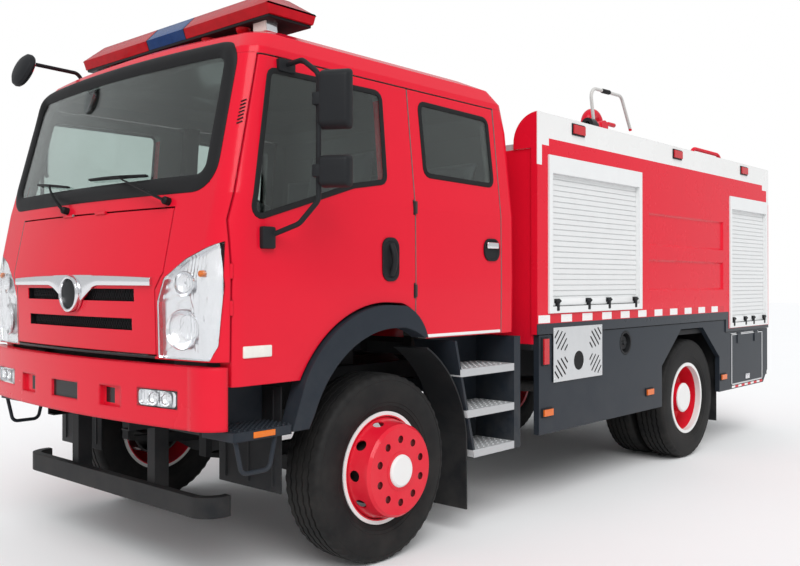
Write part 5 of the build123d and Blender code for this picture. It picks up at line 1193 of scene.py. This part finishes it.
bezels = [soft_block((side * x - wide / 2 - LAMP_RIM, rear_y - 0.001, z - high / 2 - LAMP_RIM),
                     (side * x + wide / 2 + LAMP_RIM, rear_y + 0.008, z + high / 2 + LAMP_RIM), 0.003, 2)
          for side in (1, -1)
          for x, z, wide, high in ((0.930, 1.240, 0.240, 0.090), (1.080, 2.300, 0.110, 0.110),
                                   (0.930, 2.300, 0.110, 0.110))]
fit("rear_lamp_bezels", gather(*bezels), trim_plastic, "chassis")


# Monitor and tank hatches on the deck: a red cast gooseneck that turns on a flanged riser, with
# a black nozzle and a polished hand loop, and two clamped round lids ahead of it.
dress(red_enamel, "monitor_turret")
STEEL = (0.60, 0.59, 0.57)
barrel_paint = painted("monitor_barrel_paint", RED, 0.3, [
    (STEEL, (0.12, along(3.7), 3.075), (0.18, along(5.0), 3.6)),
    (BLACK_AND_PAINTED_SHADE, (0.05, along(3.90), 2.93), (0.25, along(4.075), 3.074))],
    mottle=0.06, dust=0, grain=0.1, scale=8, edge=0.003, coat=0.3)
dress(barrel_paint, "monitor_barrel")
grip = [(0.150, along(4.21) + 0.014 * k, 3.3745 + 0.00045 * k) for k in range(12)]
fit("monitor_grip", bar(grip, [0.019] + [0.022 + 0.001 * (k % 2) for k in range(10)] + [0.019], 14),
    seal_rubber, "barrel")
BOLT_CIRCLE, LID_R = 0.104, 0.262
bolts = [lathe([(0, 0.011), (0.012, 0.011), (0.014, 0.009)],
               (BOLT_CIRCLE * math.cos(a), along(4.400) + BOLT_CIRCLE * math.sin(a), 2.470), UP, 6)
         for a in [2 * math.pi * k / 8 for k in range(8)]]
fit("monitor_bolts", gather(*bolts), aluminium, "chassis")
GRAB = ((-0.10, 2.520), (-0.085, 2.548), (-0.05, 2.556), (0.05, 2.556), (0.085, 2.548), (0.10, 2.520))
lids = []
for y in (along(2.350), along(3.300)):
    lids.append(lathe([(0, LID_R), (0.012, LID_R), (0.020, 0.250), (0.024, 0.10), (0.026, 0.02)],
                      (0, y, 2.498), UP, 40))
    lids.append(bar([(x, y, z) for x, z in GRAB], 0.010, 10))
    for a in (0, 120, 240):
        spot = (LID_R * math.cos(math.radians(a)), y + LID_R * math.sin(math.radians(a)), 2.506)
        lids.append(lathe([(-0.02, 0.020), (0.018, 0.020), (0.026, 0.012)], spot, UP, 12))
fit("tank_hatches", gather(*lids), aluminium, "chassis")


# Light bar: red and blue moulded lenses on a black tray across the cab roof, with red domes and
# white work lamps below its ends.
BAR_LOW, BAR_WAIST, BAR_TOP = 2.880, 2.945, 3.034
BAR_FRONT, BAR_REAR, BAR_LEAN = along(-0.610), along(-0.270), 0.085
BAR_HALF, RIB_PITCH, LENS_CREASE = 0.930, 0.012, 50


def lens_ring(x, grow):
    """Section of the light bar at a place across the cab, lower towards its ends."""
    top = min(BAR_TOP, BAR_WAIST + (BAR_TOP - BAR_WAIST) * (BAR_HALF - abs(x)) / 0.130 + 0.002)
    lean = BAR_LEAN * (top - BAR_WAIST) / (BAR_TOP - BAR_WAIST)
    middle = (BAR_FRONT + BAR_REAR) / 2
    half = [(0.020, BAR_LOW + 0.012), (0.004, BAR_WAIST - 0.010), (0, BAR_WAIST), (0.006, BAR_WAIST + 0.006),
            (lean - 0.006, top - 0.006), (lean + 0.006, top)]
    outline = [(BAR_FRONT + y, z) for y, z in half] + [(BAR_REAR - y, z) for y, z in half[::-1]]
    return [Vector((x, middle + (y - middle) * grow, z)) for y, z in outline]


def lens_part(x0, x1):
    """A ribbed lens between two places across the cab."""
    count = max(2, round(abs(x1 - x0) / RIB_PITCH))
    rings = []
    for k in range(count + 1):
        grow = 0.985 if k in (0, count) else (1.0 if k % 2 else 0.996)
        rings.append(lens_ring(x0 + (x1 - x0) * k / count, grow))
    return skin(rings)


red_lens, blue_lens = (
    painted(name, colour, 0.2, mottle=0.25, dust=0, grain=0.2, scale=18, coat=0.05, edge=0.002, specular=0.08)
    for name, colour in (("red_lens", (0.45, 0.006, 0.014)), ("blue_lens", (0.015, 0.06, 0.20))))
bar_red = fit("light_bar_red", gather(lens_part(BAR_HALF, 0.190), lens_part(-0.190, -BAR_HALF)), red_lens,
              "chassis", LENS_CREASE)
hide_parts("light_bar")
fit("light_bar_blue", lens_part(0.186, -0.186), blue_lens, "chassis", LENS_CREASE)
tray = [soft_block((-0.915, BAR_FRONT + 0.022, BAR_LOW - 0.004), (0.915, BAR_REAR - 0.022, BAR_LOW + 0.016),
                   0.006, 2)]
domes, work_lamps, work_lenses = [], [], []
for side in (1, -1):
    tray += [soft_block((side * 0.400 - 0.055, BAR_REAR - 0.048, 2.834),
                        (side * 0.400 + 0.055, BAR_REAR - 0.004, 2.885), 0.006, 2),
             lens_part(side * 0.184, side * 0.192)]
    domes += [lathe([(0.04, 0.040), (0.0, 0.042), (-0.022, 0.036), (-0.036, 0.022), (-0.042, 0.006)],
                    (side * x, BAR_FRONT + 0.075, BAR_LOW - 0.002), UP, 24) for x in (0.640, 0.330)]
    spot = Vector((side * 0.800, BAR_FRONT + 0.060, 2.850))
    work_lamps.append(soft_block(spot - Vector((0.060, 0.0, 0.034)), spot + Vector((0.060, 0.075, 0.038)),
                                 0.012, 3))
    work_lenses.append(soft_block(spot - Vector((0.052, 0.006, 0.027)), spot + Vector((0.052, 0.004, 0.030)),
                                  0.004, 2))
fit("light_bar_tray", gather(*tray), trim_plastic, "chassis")
fit("light_bar_domes", gather(*domes), red_lens, "chassis")
fit("work_lamps", gather(*work_lamps), bright, "chassis")
fit("work_lamp_lenses", gather(*work_lenses), clear_marker, "chassis")


# Mirrors: black moulded heads clamped on a bent tube on each front door, and a round kerb
# mirror on an arm over the right front corner.
STEM_X, STEM_Y = 1.374, along(-0.664)
HEAD_WIDE, HEAD_THICK = 0.084, 0.033


def mirror_head(z, high):
    """Housing with a crowned back, clamped to the stem, and the glass set in its rear face."""
    spot = Matrix.Translation((STEM_X + 0.072, STEM_Y + 0.042, z)) @ Matrix.Rotation(math.radians(30), 4, "Z")
    shell = soft_block((-HEAD_WIDE, -HEAD_THICK, -high / 2), (HEAD_WIDE, HEAD_THICK, high / 2), 0.024, 5)
    for v in shell.verts:
        shrink = 0.80 + 0.20 * (v.co.y + HEAD_THICK) / (2 * HEAD_THICK)
        v.co.x *= shrink if v.co.x > 0 else 1
        v.co.z *= shrink
    bmesh.ops.transform(shell, matrix=spot, verts=shell.verts)
    pane = soft_block((-0.064, 0.029, -high / 2 + 0.026), (0.060, 0.0345, high / 2 - 0.026), 0.002, 2, spot)
    clamp = soft_block((-0.108, -0.030, -0.030), (-0.064, 0.016, 0.030), 0.006, 2, spot)
    return gather(shell, clamp), pane


tube = bar(bend_line([(1.100, along(-0.637), 2.585), (1.250, along(-0.655), 2.585), (STEM_X, STEM_Y, 2.500),
                      (STEM_X, STEM_Y, 1.900), (1.300, along(-0.720), 1.790), (1.152, along(-0.793), 1.7295)],
                     0.06), 0.013, 12)
feet = [soft_block((1.090, along(-0.690), 2.548), (1.125, along(-0.585), 2.612), 0.008, 2),
        soft_block((1.150, along(-0.850), 1.672), (1.196, along(-0.770), 1.778), 0.010, 2)]
shells, panes = zip(*(mirror_head(z, high) for z, high in ((2.377, 0.302), (2.037, 0.165))))
mirror_glass = painted("mirror_glass", (0.80, 0.82, 0.84), 0.03, mottle=0.02, dust=0, grain=0.0, scale=4,
                       metallic=1.0, edge=0.001)
for made, (_, word) in zip(two_bodies("door_mirror", gather(tube, *feet, *shells), trim_plastic, "door_f"), SIDES):
    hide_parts(f"mirror_{word}")
two_bodies("mirror_pane", gather(*panes), mirror_glass, "door_f")
kerb_arm = bar(bend_line([(-0.800, along(-0.600), 2.700), (-0.800, along(-0.720), 2.830),
                          (-0.770, along(-1.040), 2.830), (-0.740, along(-1.085), 2.790)], 0.05), 0.012, 12)
kerb_at = (-0.735, along(-1.100), 2.775)
kerb_way = Vector((0, -math.sin(math.radians(70)), math.cos(math.radians(70))))
kerb_head = lathe([(-0.028, 0.088), (-0.024, 0.100), (-0.010, 0.105), (0.008, 0.100), (0.022, 0.078),
                   (0.030, 0.040), (0.032, 0.01)], kerb_at, kerb_way, 36)
kerb = fit("kerb_mirror", gather(kerb_arm, kerb_head), trim_plastic, "chassis")
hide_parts("front_mirror")
kerb_glass = lathe([(-0.034, 0.080), (-0.030, 0.092), (-0.026, 0.094)], kerb_at, kerb_way, 36)
fit("kerb_mirror_pane", kerb_glass, mirror_glass, "chassis")
